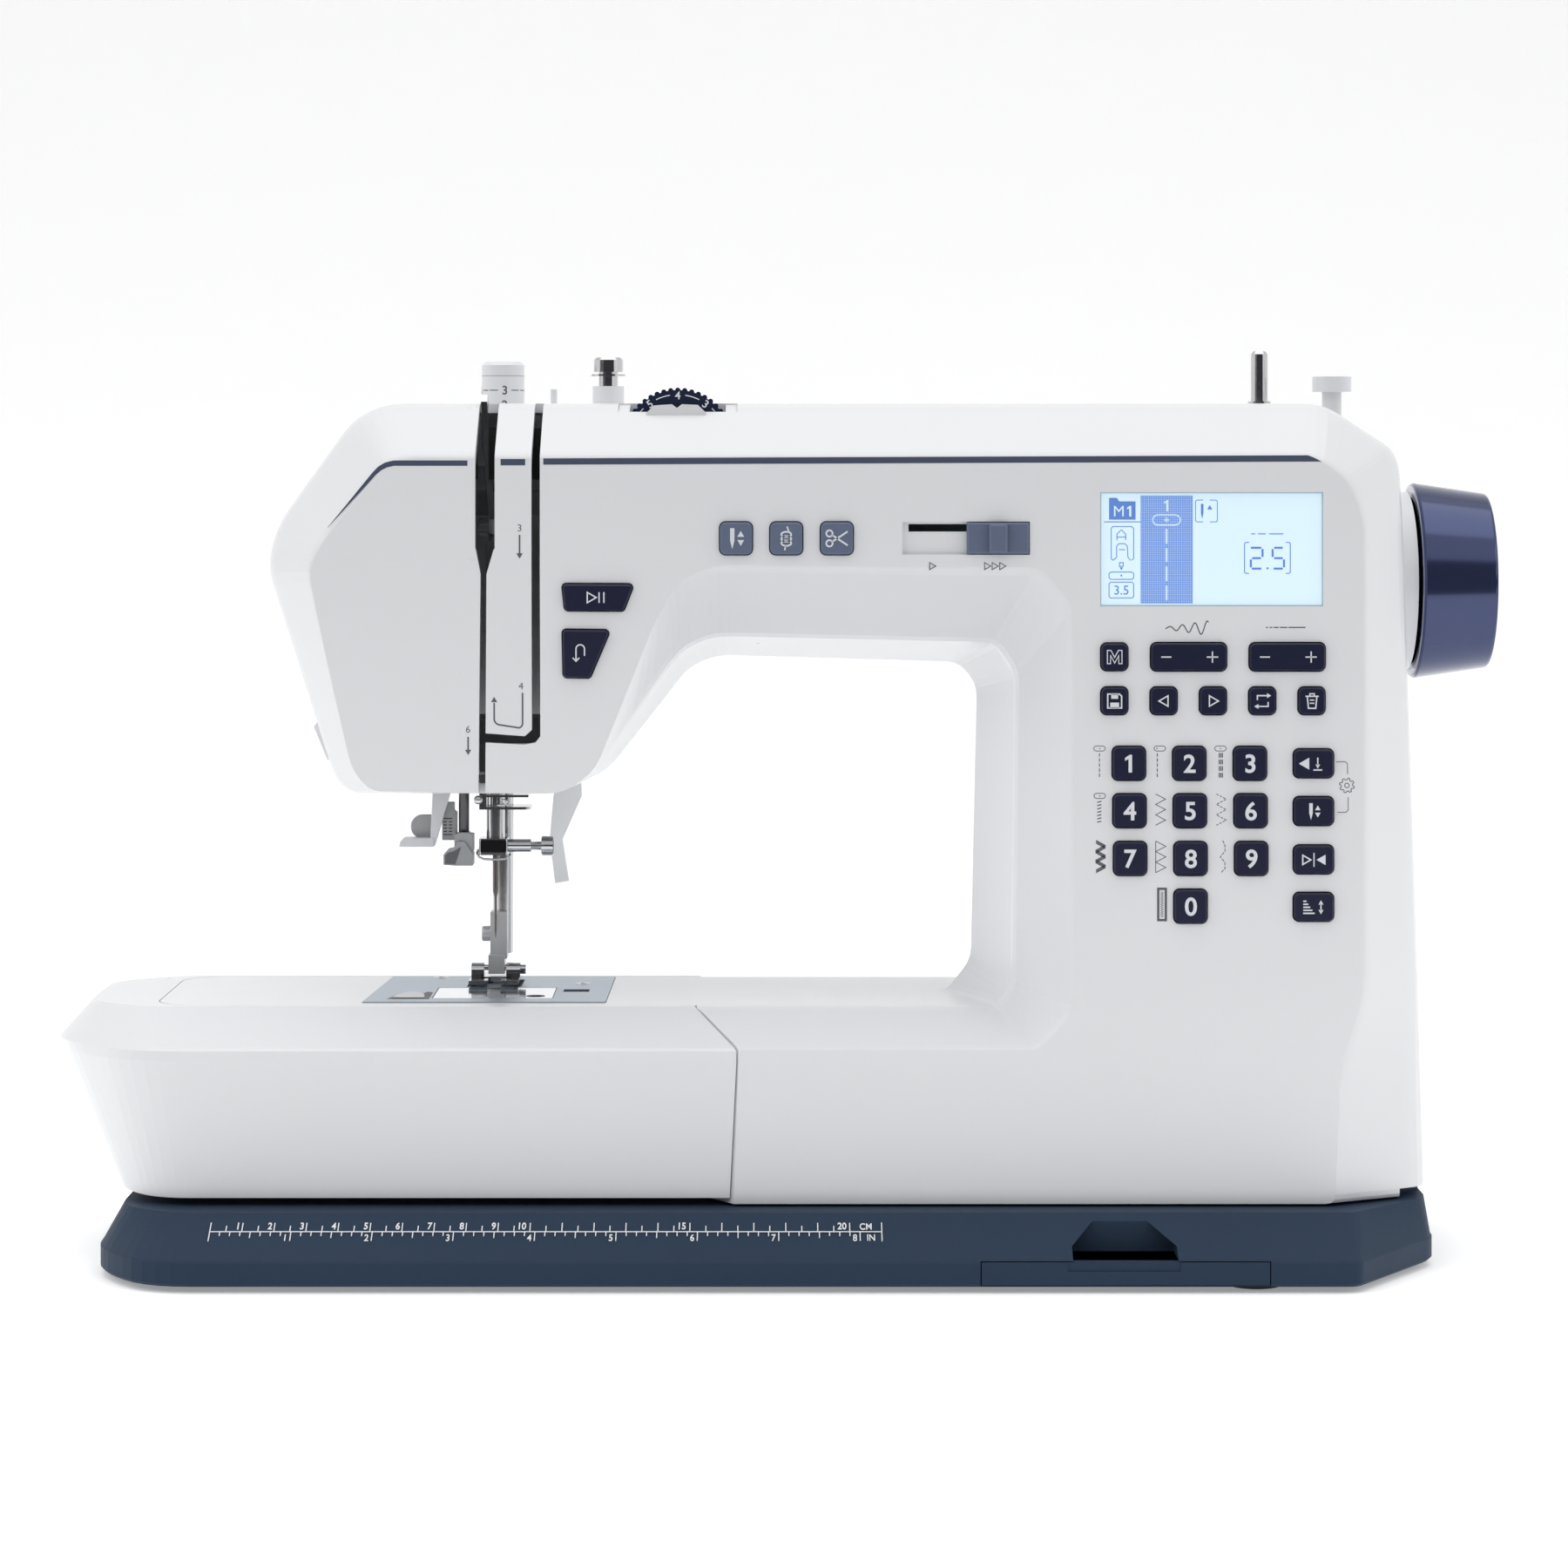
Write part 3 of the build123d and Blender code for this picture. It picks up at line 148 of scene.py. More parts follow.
def ring_faces(rings, sides):
    """Quads between closed rings of points, and a cap on each end."""
    i, j = np.meshgrid(np.arange(rings - 1), np.arange(sides), indexing="ij")
    k = (j + 1) % sides
    quads = np.stack([i * sides + j, i * sides + k, (i + 1) * sides + k, (i + 1) * sides + j], -1)
    last = (rings - 1) * sides
    return [tuple(q) for q in quads.reshape(-1, 4).tolist()] + [
        tuple(range(sides - 1, -1, -1)), tuple(range(last, last + sides))]


def turned(profile, centre, axis, sides=32, ridges=0, depth=0.0):
    """Turned solid: each (distance, radius) row of the profile becomes a circle round axis.

    With ridges the radius also swings by depth times the cosine of ridges times the angle.
    """
    axis = np.asarray(axis, float)
    side = np.cross(axis, (0.3, 0.5, 0.8))
    side /= np.linalg.norm(side)
    other = np.cross(axis, side)
    profile = np.asarray(profile, float)
    t = np.linspace(0, 2 * np.pi, sides, endpoint=False)[None, :, None]
    radius = profile[:, 1][:, None, None] + depth * np.cos(ridges * t)
    points = (np.asarray(centre, float) + profile[:, 0][:, None, None] * axis
              + radius * (np.cos(t) * side + np.sin(t) * other))
    return points.reshape(-1, 3), ring_faces(len(profile), sides)


def wire(path, radius, sides=8):
    """Round wire: a circle of this radius carried square to the path at each point."""
    p = np.asarray(path, float)
    along = unit(np.gradient(p, axis=0))
    side = unit(np.cross(along, (0.31, 0.52, 0.79)))
    other = np.cross(along, side)
    t = np.linspace(0, 2 * np.pi, sides, endpoint=False)[None, :, None]
    points = p[:, None] + radius * (np.cos(t) * side[:, None] + np.sin(t) * other[:, None])
    return points.reshape(-1, 3), ring_faces(len(p), sides)


def slab(outline, front, back):
    """Upright slab: an (x, z) outline carried from y front to y back."""
    p = np.asarray(outline, float)
    rings = [np.column_stack([p[:, 0], np.full(len(p), y), p[:, 1]]) for y in (front, back)]
    return np.vstack(rings), ring_faces(2, len(p))


def eased(piece, width):
    """Rounds the piece's edges over by this width."""
    soft = piece.modifiers.new("eased_edges", "BEVEL")
    soft.width, soft.segments, soft.limit_method = width * MM, 2, "ANGLE"
    return piece


def round_map(centre, radius, z):
    """Wraps a drawing round an upright cylinder: u becomes the angle u / radius."""
    cx, cy = centre

    def place(q):
        angle = q[:, 0] / radius
        reach = radius + q[:, 2]
        return np.stack([cx + reach * np.sin(angle), cy - reach * np.cos(angle),
                         z + q[:, 1]], 1)
    return place


def arc(cx, cy, radius, start, end, steps=16, ratio=1.0):
    """Points on an ellipse from one angle to another, in degrees."""
    t = np.radians(np.linspace(start, end, steps + 1))
    return np.stack([cx + radius * np.cos(t), cy + radius * ratio * np.sin(t)], 1)


def unit(v):
    return v / np.maximum(np.linalg.norm(v, axis=1, keepdims=True), 1e-9)


class Drawing:
    """Thin closed solids drawn in (u, v) on a surface: lines, filled shapes and figures."""

    def __init__(self, place, low=-INK_DEPTH, high=INK_PROUD):
        self.place = place
        self.low, self.high = low, high
        self.points, self.faces, self.count = [], [], 0

    def _add(self, points, faces):
        self.points.append(points)
        self.faces += [tuple(i + self.count for i in face) for face in faces]
        self.count += len(points)

    def line(self, path, width=None, closed=False):
        """Strip along a path. Each corner moves out half the width along the mitre."""
        width = sizes().ink_line / MM if width is None else width
        p = np.asarray(path, float)
        if closed:
            before, after = np.roll(p, 1, 0), np.roll(p, -1, 0)
        else:
            before = np.vstack([2 * p[0] - p[1], p[:-1]])
            after = np.vstack([p[1:], 2 * p[-1] - p[-2]])
        a, b = unit(p - before), unit(after - p)
        na, nb = np.stack([-a[:, 1], a[:, 0]], 1), np.stack([-b[:, 1], b[:, 0]], 1)
        mitre = unit(na + nb)
        reach = width / 2 / np.maximum((mitre * na).sum(1, keepdims=True), 0.4)
        left, right = p + mitre * reach, p - mitre * reach
        n = len(p)
        rings = np.empty((n, 4, 3))
        rings[:, 0, :2], rings[:, 3, :2] = left, left
        rings[:, 1, :2], rings[:, 2, :2] = right, right
        rings[:, :2, 2], rings[:, 2:, 2] = self.high, self.low
        runs = n if closed else n - 1
        i = np.arange(runs)[:, None]
        j = np.arange(4)[None, :]
        k = (i + 1) % n
        quads = np.stack(np.broadcast_arrays(4 * i + j, 4 * i + (j + 1) % 4,
                                             4 * k + (j + 1) % 4, 4 * k + j), -1)
        faces = [tuple(q) for q in quads.reshape(-1, 4).tolist()]
        if not closed:
            last = 4 * (n - 1)
            faces += [(0, 3, 2, 1), (last, last + 1, last + 2, last + 3)]
        self._add(rings.reshape(-1, 3), faces)

    def area(self, outline):
        """Filled shape with the outline's corners given anticlockwise."""
        p = np.asarray(outline, float)
        n = len(p)
        top = np.column_stack([p, np.full(n, self.high)])
        low = np.column_stack([p, np.full(n, self.low)])
        faces = [tuple(range(n)), tuple(range(2 * n - 1, n - 1, -1))]
        faces += [(i, n + i, n + (i + 1) % n, (i + 1) % n) for i in range(n)]
        self._add(np.vstack([top, low]), faces)

    def ring(self, cx, cy, radius, width=None, ratio=1.0):
        self.line(arc(cx, cy, radius, 0, 360, 20, ratio)[:-1], width, closed=True)

    def dot(self, cx, cy, radius):
        self.area(arc(cx, cy, radius, 0, 360, 14)[:-1])

    def arrow(self, x, tail, tip, width=0.5):
        """Upright arrow from the tail's height to the tip's."""
        way = 1 if tip > tail else -1
        self.line([(x, tail), (x, tip - 1.6 * way)], width)
        self.area(triangle(x, tip - 1.1 * way, 1.15, 90 * way))

    def figures(self, words, size, cx=0.0, cy=0.0, bold=0.0, turn=0.0):
        """Generic figures or letters, centred on a point. size is the capital height."""
        curve = bpy.data.curves.new("figures", "FONT")
        curve.body = words
        curve.align_x, curve.align_y = "CENTER", "CENTER"
        curve.size = size / 0.7
        curve.offset = bold
        curve.extrude = (self.high - self.low) / 2
        curve.resolution_u = 4
        holder = bpy.data.objects.new("figures", curve)
        bpy.context.scene.collection.objects.link(holder)
        graph = bpy.context.evaluated_depsgraph_get()
        mesh = bpy.data.meshes.new_from_object(holder.evaluated_get(graph))
        shape = bmesh.new()
        shape.from_mesh(mesh)
        bmesh.ops.remove_doubles(shape, verts=shape.verts, dist=1e-5)
        shape.verts.index_update()
        points = np.array([v.co for v in shape.verts], float)
        middle = (points.min(0) + points.max(0)) / 2
        points -= (middle[0], middle[1], 0.0)
        t = math.radians(turn)
        spin = np.array([(math.cos(t), math.sin(t), 0), (-math.sin(t), math.cos(t), 0), (0, 0, 1)])
        points = points @ spin + (cx, cy, (self.high + self.low) / 2)
        faces = [tuple(v.index for v in face.verts) for face in shape.faces]
        shape.free()
        bpy.data.objects.remove(holder)
        bpy.data.curves.remove(curve)
        bpy.data.meshes.remove(mesh)
        self._add(points, faces)

    def piece(self, name, body, look, slot=None):
        placed = self.place(np.vstack(self.points))
        return link_piece(name, placed, self.faces, body, look, slot=slot)


# ---- materials -----------------------------------------------------------------------
FINISHES = {}


def finish(name, tint, rough=0.35, spread=0.06, grain=1400.0, bump=0.02, mottle=0.03,
           metal=0.0, coat=0.0, brushed=None, glow=0.0, specular=0.5):
    """Node material on Object coordinates, kept in FINISHES under its name.

    The tint is mottled by plus and minus mottle, the roughness swings by spread round rough,
    and a relief of grain cells per metre stands bump strong. brushed stretches the relief.
    """
    material = bpy.data.materials.new(name)
    material.use_nodes = True
    nodes, links = material.node_tree.nodes, material.node_tree.links
    shader = nodes["Principled BSDF"]
    shader.inputs["Metallic"].default_value = metal
    shader.inputs["Coat Weight"].default_value = coat
    shader.inputs["Coat Roughness"].default_value = 0.08
    shader.inputs["Specular IOR Level"].default_value = specular
    place = nodes.new("ShaderNodeTexCoord")
    stretch = nodes.new("ShaderNodeMapping")
    stretch.inputs["Scale"].default_value = brushed or (1.0, 1.0, 1.0)
    links.new(place.outputs["Object"], stretch.inputs["Vector"])

    def noise(scale, detail, source):
        texture = nodes.new("ShaderNodeTexNoise")
        texture.inputs["Scale"].default_value = scale
        texture.inputs["Detail"].default_value = detail
        links.new(source, texture.inputs["Vector"])
        return texture.outputs["Fac"]

    cloud = noise(14.0, 3.0, place.outputs["Object"])
    blend = nodes.new("ShaderNodeMix")
    blend.data_type = "RGBA"
    dark = [c * (1.0 - mottle) for c in tint]
    light = [min(1.0, c * (1.0 + mottle)) for c in tint]
    blend.inputs["A"].default_value = (*dark, 1.0)
    blend.inputs["B"].default_value = (*light, 1.0)
    links.new(cloud, blend.inputs["Factor"])
    links.new(blend.outputs["Result"], shader.inputs["Base Color"])
    uneven = nodes.new("ShaderNodeMapRange")
    uneven.inputs["To Min"].default_value = max(0.02, rough - spread)
    uneven.inputs["To Max"].default_value = min(1.0, rough + spread)
    links.new(noise(60.0, 4.0, stretch.outputs["Vector"]), uneven.inputs["Value"])
    links.new(uneven.outputs["Result"], shader.inputs["Roughness"])
    relief = nodes.new("ShaderNodeBump")
    relief.inputs["Strength"].default_value = bump
    relief.inputs["Distance"].default_value = 0.0002
    links.new(noise(grain, 2.0, stretch.outputs["Vector"]), relief.inputs["Height"])
    links.new(relief.outputs["Normal"], shader.inputs["Normal"])
    if glow:
        shader.inputs["Emission Strength"].default_value = glow
        links.new(blend.outputs["Result"], shader.inputs["Emission Color"])
    FINISHES[name] = material
    return material


class SEWING_OT_finishes(bpy.types.Operator):
    """Makes the finishes and puts them on the CAD parts"""

    bl_idname = "sewing.finishes"
    bl_label = "Finishes"

    def execute(self, context):
        c = colours()
        finish("white_moulding", c.moulding, 0.30, 0.05, 900, 0.05, 0.008, coat=0.15)
        finish("slate_base", c.base, 0.50, 0.05, 1600, 0.25, 0.05, specular=0.10)
        finish("navy_key", c.key, 0.36, 0.05, 1200, 0.12, 0.06, specular=0.35)
        finish("grey_blue_key", c.clip, 0.38, 0.05, 1200, 0.10, 0.05, specular=0.35)
        finish("navy_wheel", c.wheel, 0.16, 0.03, 700, 0.01, 0.05, metal=0.65, coat=0.20)
        finish("black_rubber", (0.02, 0.02, 0.02), 0.8, 0.08, 900, 0.4)
        finish("cast_frame", (0.42, 0.43, 0.44), 0.5, 0.1, 500, 0.5, 0.1, metal=1.0)
        finish("stitch_plate", (0.40, 0.46, 0.53), 0.34, 0.08, 260, 0.10, 0.05, metal=0.85,
               brushed=(1.0, 14.0, 1.0))
        finish("clear_cover", (0.80, 0.84, 0.88), 0.08, 0.03, 300, 0.01, 0.02, metal=0.9, coat=0.4)
        finish("hard_steel", (0.40, 0.40, 0.41), 0.30, 0.08, 300, 0.10, 0.06, metal=1.0,
               brushed=(1.0, 1.0, 8.0))
        finish("black_hook", (0.02, 0.02, 0.022), 0.4, 0.1, 900, 0.1)
        finish("bright_chrome", (0.62, 0.62, 0.63), 0.13, 0.05, 260, 0.03, 0.03, metal=1.0)
        finish("pale_grey_clip", (0.42, 0.43, 0.44), 0.45, 0.06, 1200, 0.15, 0.05)
        finish("display", c.screen, 0.30, 0.03, 900, 0.01, 0.01, glow=0.22, specular=0.2)
        finish("black_switch", (0.012, 0.012, 0.013), 0.35, 0.06, 900, 0.1)
        # the presser lifter's finish glows a little: painted light that brightens the lever where
        # the head shades it
        finish("lifter_white_painted_light", c.moulding, 0.35, 0.05, 900, 0.05, 0.01, glow=0.24)
        finish("satin_steel", (0.66, 0.67, 0.68), 0.42, 0.06, 500, 0.05, 0.04, metal=0.6)
        finish("needle_steel", (0.20, 0.18, 0.17), 0.25, 0.06, 300, 0.04, 0.06, metal=1.0)
        finish("print_grey", c.ink, 0.5, 0.06, 1200, 0.05, 0.05)
        finish("print_pale", c.pale_ink, 0.5, 0.06, 1200, 0.05, 0.03)
        finish("print_navy", (0.060, 0.075, 0.125), 0.45, 0.06, 1200, 0.05, 0.05)
        finish("print_white", (0.80, 0.81, 0.83), 0.5, 0.06, 1200, 0.05, 0.02)
        finish("screen_ink", c.screen_ink, 0.4, 0.04, 900, 0.02, 0.03, specular=0.2)
        finish("screen_column", (0.20, 0.36, 0.86), 0.4, 0.04, 900, 0.02, 0.03, glow=0.1,
               specular=0.2)
        finish("screen_light", (0.72, 0.88, 1.0), 0.4, 0.04, 900, 0.02, 0.02, glow=0.15,
               specular=0.2)
        finish("screen_edge", (0.42, 0.60, 0.70), 0.4, 0.04, 900, 0.02, 0.02)
        # the pale lavender of the handwheel's inner rim is a painted highlight, standing for the
        # rim's bright reflection
        finish("rim_painted_highlight", (0.40, 0.42, 0.58), 0.2, 0.04, 700, 0.02, 0.03, coat=0.6)
        finish("dark_steel", (0.10, 0.10, 0.105), 0.32, 0.08, 300, 0.08, 0.06, metal=1.0,
               brushed=(1.0, 1.0, 8.0))
        finish("clip_shade", (0.14, 0.15, 0.16), 0.5, 0.06, 1200, 0.15, 0.05)
        # black gloss for the needle clamp's front, which is a painted dark reflection on chrome
        finish("black_gloss", (0.010, 0.010, 0.011), 0.12, 0.03, 400, 0.01, 0.05)
        slots = {row["node"]: row["material_slot"] for row in frame["record"]["subparts"]}
        # the presser lifter takes the glowing finish, whose glow is painted light
        slots.update(presser_lifter="lifter_white_painted_light", presser_ankle="satin_steel",
                     needle="needle_steel")
        for name, node in frame["nodes"].items():
            for holder in node.material_slots:
                holder.material = FINISHES[slots[name]]
        return {"FINISHED"}


# ---- where things are ----------------------------------------------------------------
ARM_KEYS = ("key_needle_up_down", "key_tie_off", "key_thread_snips")


def key_face(name):
    """Middle of a key's front face and the plane it lies in; the arm keys' marks are larger."""
    low, middle, _ = box_mm(name)
    size = 1.25 if name in ARM_KEYS else 1.0
    return flat_map((middle[0], low[1], middle[2]), right=(size, 0, 0), up=(0, 0, size))


def head_plane(x, z, proud=0.0):
    """Plane of the head's face below its crease, which leans back."""
    lean = math.tan(HEAD_LEAN)
    y = FACE_Y + (HEAD_LEAN_Z - z) * lean - proud / math.cos(HEAD_LEAN)
    return flat_map((x, y, z), up=(0, -math.sin(HEAD_LEAN), math.cos(HEAD_LEAN)))


def triangle(x, y, half, turn=0.0):
    """Three corners round a point; turn 0 points right."""
    return arc(x, y, half, turn, turn + 240, 2)


# ---- marks on the keys ---------------------------------------------------------------
def draw_needle_arrows(d, s=1.0):
    d.area(np.array([(-1.5, 2.6), (-1.5, -0.6), (-0.95, -2.7), (-0.4, -0.6), (-0.4, 2.6)]) * s)
    d.area(triangle(1.2 * s, 0.9 * s, 1.0 * s, 90))
    d.area(triangle(1.2 * s, -0.9 * s, 1.0 * s, 270))


def draw_knot(d):
    d.line([(0.2, 3.0), (0.6, 1.8)], 0.4)
    for y, ratio in ((1.0, 0.55), (-0.1, 0.55), (-1.2, 0.55)):
        d.ring(0.0, y, 1.25, 0.42, ratio)
    d.line([(-0.2, -1.9), (-0.4, -3.0)], 0.4)


def draw_scissors(d):
    for side in (1, -1):
        d.ring(-1.9, 1.25 * side, 0.8, 0.42)
        d.line([(-1.2, 0.85 * side), (2.7, -1.75 * side)], 0.45)


def draw_play_pause(d):
    d.line(triangle(-1.9, 0, 1.9), 0.42, closed=True)
    d.line([(0.9, 1.7), (0.9, -1.7)], 0.42)
    d.line([(2.4, 1.7), (2.4, -1.7)], 0.42)


def draw_u_turn(d):
    bend = arc(-0.1, 1.2, 1.35, 0, 180, 10)
    d.line(np.vstack([[(1.25, -1.0)], bend, [(-1.45, -2.6)]]), 0.42)
    d.line([(-2.5, -1.6), (-1.45, -2.7), (-0.4, -1.6)], 0.42)


def draw_disk(d):
    d.line([(-2.2, -2.2), (2.2, -2.2), (2.2, 1.5), (1.5, 2.2), (-2.2, 2.2)], 0.45, closed=True)
    d.area([(-1.1, 0.7), (1.1, 0.7), (1.1, 2.2), (-1.1, 2.2)])
    d.area([(-1.4, -2.2), (1.4, -2.2), (1.4, -0.5), (-1.4, -0.5)])


def draw_restart(d):
    d.line([(-1.7, 0.3), (-1.7, 1.7), (1.4, 1.7)], 0.42)
    d.area(triangle(1.8, 1.7, 0.9))
    d.line([(1.7, -0.3), (1.7, -1.7), (-1.4, -1.7)], 0.42)
    d.area(triangle(-1.8, -1.7, 0.9, 180))


def draw_bin(d):
    d.line([(-1.5, 1.3), (-1.15, -2.3), (1.15, -2.3), (1.5, 1.3)], 0.42)
    d.line([(-2.1, 1.5), (2.1, 1.5)], 0.42)
    d.line([(-0.7, 1.7), (-0.7, 2.3), (0.7, 2.3), (0.7, 1.7)], 0.38)
    for y in (0.3, -0.7):
        d.line([(-0.7, y), (0.7, y)], 0.38)


def draw_stop_position(d):
    d.area(triangle(-2.6, 0.0, 2.2, 180))
    d.line([(1.2, 1.9), (1.2, -0.6)], 0.42)
    d.area(triangle(1.2, -0.7, 0.85, 270))
    d.line([(-0.2, -2.0), (2.6, -2.0)], 0.45)


def draw_mirror(d):
    d.line(triangle(-2.7, 0, 1.7), 0.42, closed=True)
    d.line([(0, 2.2), (0, -2.2)], 0.36)
    d.area(triangle(2.7, 0, 1.9, 180))


def draw_density(d):
    for row, length in enumerate((1.0, 1.6, 2.2, 2.9, 3.6)):
        y = 1.9 - row * 0.95
        d.line([(-3.4, y), (-3.4 + length, y)], 0.45)
    d.line([(2.2, 1.2), (2.2, -1.2)], 0.42)
    d.area(triangle(2.2, 1.3, 0.9, 90))
    d.area(triangle(2.2, -1.3, 0.9, 270))


def draw_plus_minus(d):
    d.line([(-8.8, 0), (-5.6, 0)], 0.42)
    d.line([(5.6, 0), (9.2, 0)], 0.42)
    d.line([(7.4, 1.8), (7.4, -1.8)], 0.42)


def draw_letter_m(d):
    half = [(-2.3, -2.1), (-2.3, 2.1), (-1.2, 2.1), (0.0, -0.1)]
    other = [(1.2, 2.1), (2.3, 2.1), (2.3, -2.1), (1.3, -2.1), (1.3, 0.5), (0.0, -1.9),
             (-1.3, 0.5), (-1.3, -2.1)]
    d.line(half + other, 0.3, closed=True)


def draw_one(d, size, cx=0.0, cy=0.0):
    """Figure 1 with a flag, because the font's own has none. size is its height."""
    outline = np.array([(-0.04, -0.5), (0.16, -0.5), (0.16, 0.5), (0.02, 0.5), (-0.24, 0.32),
                        (-0.24, 0.16), (-0.04, 0.26)])
    d.area(outline * size + (cx, cy))


KEY_DRAWINGS = {
    "key_needle_up_down": draw_needle_arrows,
    "key_tie_off": draw_knot,
    "key_thread_snips": draw_scissors,
    "key_memory": draw_letter_m,
    "key_save": draw_disk,
    "key_previous": lambda d: d.line(triangle(0.3, 0, 1.9, 180), 0.42, closed=True),
    "key_next": lambda d: d.line(triangle(-0.3, 0, 1.9), 0.42, closed=True),
    "key_restart": draw_restart,
    "key_delete": draw_bin,
    "key_stop_position": draw_stop_position,
    "key_needle_position": draw_needle_arrows,
    "key_mirror": draw_mirror,
    "key_density": draw_density,
    "rocker_stitch_width": draw_plus_minus,
    "rocker_stitch_length": draw_plus_minus,
}


class SEWING_OT_key_marks(bpy.types.Operator):
    """Draws the mark on each key; a mark moves with its key"""

    bl_idname = "sewing.key_marks"
    bl_label = "Key marks"

    def execute(self, context):
        for key, draw in KEY_DRAWINGS.items():
            drawing = Drawing(key_face(key))
            draw(drawing)
            drawing.piece("mark_" + key, key, "print_pale")
        for digit in "0123456789":
            key = "key_" + digit
            drawing = Drawing(key_face(key))
            if digit == "1":
                draw_one(drawing, 5.6)
            else:
                drawing.figures(digit, 5.6, bold=0.16)
            drawing.piece("mark_" + key, key, "print_pale")
        for key, draw, x, z in (("key_start_stop", draw_play_pause, -56.6, 214.7),
                                ("key_reverse", draw_u_turn, -61.6, 197.2)):
            drawing = Drawing(head_plane(x, z, 1.5))
            draw(drawing)
            drawing.piece("mark_" + key, key, "print_pale")
        return {"FINISHED"}


# ---- prints on the covers and the base ------------------------------------------------
STRIPE_LEFT = [(-141.6, 236.8), (-126.9, 253.9), (-125.2, 255.5), (-123.2, 256.6),
               (-120.8, 257.2), (-118.4, 257.2), (-97.4, 257.2)]
STRIPE_WIDTHS = [0.12, 1.25, 1.5, 1.65, 1.7, 1.7, 1.7]
RULE_START = (-176.7, -75.3, 17.0)
RULE_SLOPE = (21.0, 11.5)       # depth of the base's front slope and how far it climbs
RULE_STRETCH = 1.6              # marks are drawn taller, because the slope is seen at a low angle
INCH = 25.4


def ribbon(path, widths):
    """Outline of a strip whose half width changes along its path."""
    p, half = np.asarray(path, float), np.asarray(widths, float)[:, None] / 2
    along = unit(np.gradient(p, axis=0))
    across = np.stack([-along[:, 1], along[:, 0]], 1) * half
    return np.vstack([p - across, (p + across)[::-1]])


def zigzag(x0, x1, top, bottom, count):
    z = np.linspace(top, bottom, count + 1)
    return np.column_stack([np.where(np.arange(count + 1) % 2, x1, x0), z])


def dashes(drawing, path, width, dash, gap):
    """Breaks a path into dashes by walking along it."""
    p = np.asarray(path, float)
    step = np.hypot(*np.diff(p, axis=0).T)
    far = np.concatenate([[0], np.cumsum(step)])
    for start in np.arange(0, far[-1], dash + gap):
        s = np.unique(np.clip(np.concatenate([[start, start + dash], far]), start,
                              min(start + dash, far[-1])))
        if len(s) > 1:
            drawing.line(np.column_stack([np.interp(s, far, p[:, 0]),
                                          np.interp(s, far, p[:, 1])]), width)


class SEWING_OT_stripe(bpy.types.Operator):
    """Draws the dark stripe along the top edge of the covers, broken at the slots"""

    bl_idname = "sewing.stripe"
    bl_label = "Stripe"

    def execute(self, context):
        d = Drawing(flat_map((0, FACE_Y, 0)))
        d.area(ribbon(STRIPE_LEFT, STRIPE_WIDTHS))
        half = sizes().stripe / MM / 2
        d.area([(-86.9, 257.5 - half), (-79.1, 257.5 - half), (-79.1, 257.5 + half),
                (-86.9, 257.5 + half)])
        d.area([(-73.4, 257.7 - half), (172.9, 258.7 - half), (170.6, 258.9),
                (168.6, 258.7 + half), (-73.4, 257.7 + half)])
        d.piece("stripe", "casing", "print_navy")
        return {"FINISHED"}


class SEWING_OT_rule(bpy.types.Operator):
    """Draws the measuring rule on the front slope of the base: centimetres above the
    line, inches below it"""

    bl_idname = "sewing.rule"
    bl_label = "Measuring rule"

    def execute(self, context):
        depth, climb = RULE_SLOPE
        rise = np.array((0.0, depth, climb)) / math.hypot(depth, climb)
        d = Drawing(flat_map(RULE_START, up=rise * RULE_STRETCH), low=-0.05, high=0.06)
        thin = sizes().print_line / MM
        d.line([(0, 0), (210.0, 0)], 0.24)
        for step in range(1, 41):
            x = step * 5.0
            d.line([(x, 0.1), (x, 2.7 if step % 2 == 0 else 1.8)], thin)
        for step in range(1, 65):
            x = step * INCH / 8
            length = 2.8 if step % 8 == 0 else 1.9 if step % 4 == 0 else 1.3
            d.line([(x, -0.1), (x, -length)], thin)
        for x in (0.0, 210.0):
            d.line([(x, -2.9), (x, 2.8)], thin)
        for number in (*range(1, 11), 15, 20):
            wide = 2.4 if number > 9 else 1.4
            d.figures(str(number), 2.0, number * 10.0 - wide, 1.75, 0.05)
        for number in range(1, 9):
            d.figures(str(number), 2.0, number * INCH - 1.6, -1.85, 0.03)
        d.figures("CM", 1.9, 205.0, 1.6, 0.03)
        d.figures("IN", 1.9, 206.6, -1.8, 0.03)
        d.piece("measuring_rule", "casing", "print_white")
        return {"FINISHED"}


def draw_foot_mark(d, x, z, dot):
    """Small oval of the presser foot's slot with the needle's place in it."""
    ends = np.vstack([arc(x + 1.0, z, 0.8, -90, 90, 8), arc(x - 1.0, z, 0.8, 90, 270, 8)])
    d.line(ends, 0.22, closed=True)
    d.dot(x + dot, z, 0.2)


def draw_gear(d, x, z):
    t = np.radians(np.arange(0, 360, 7.5))
    radius = np.where((np.arange(len(t)) // 3) % 2, 2.35, 1.8)
    d.line(np.column_stack([x + radius * np.cos(t), z + radius * np.sin(t)]), 0.24, closed=True)
    d.ring(x, z, 0.72, 0.24)


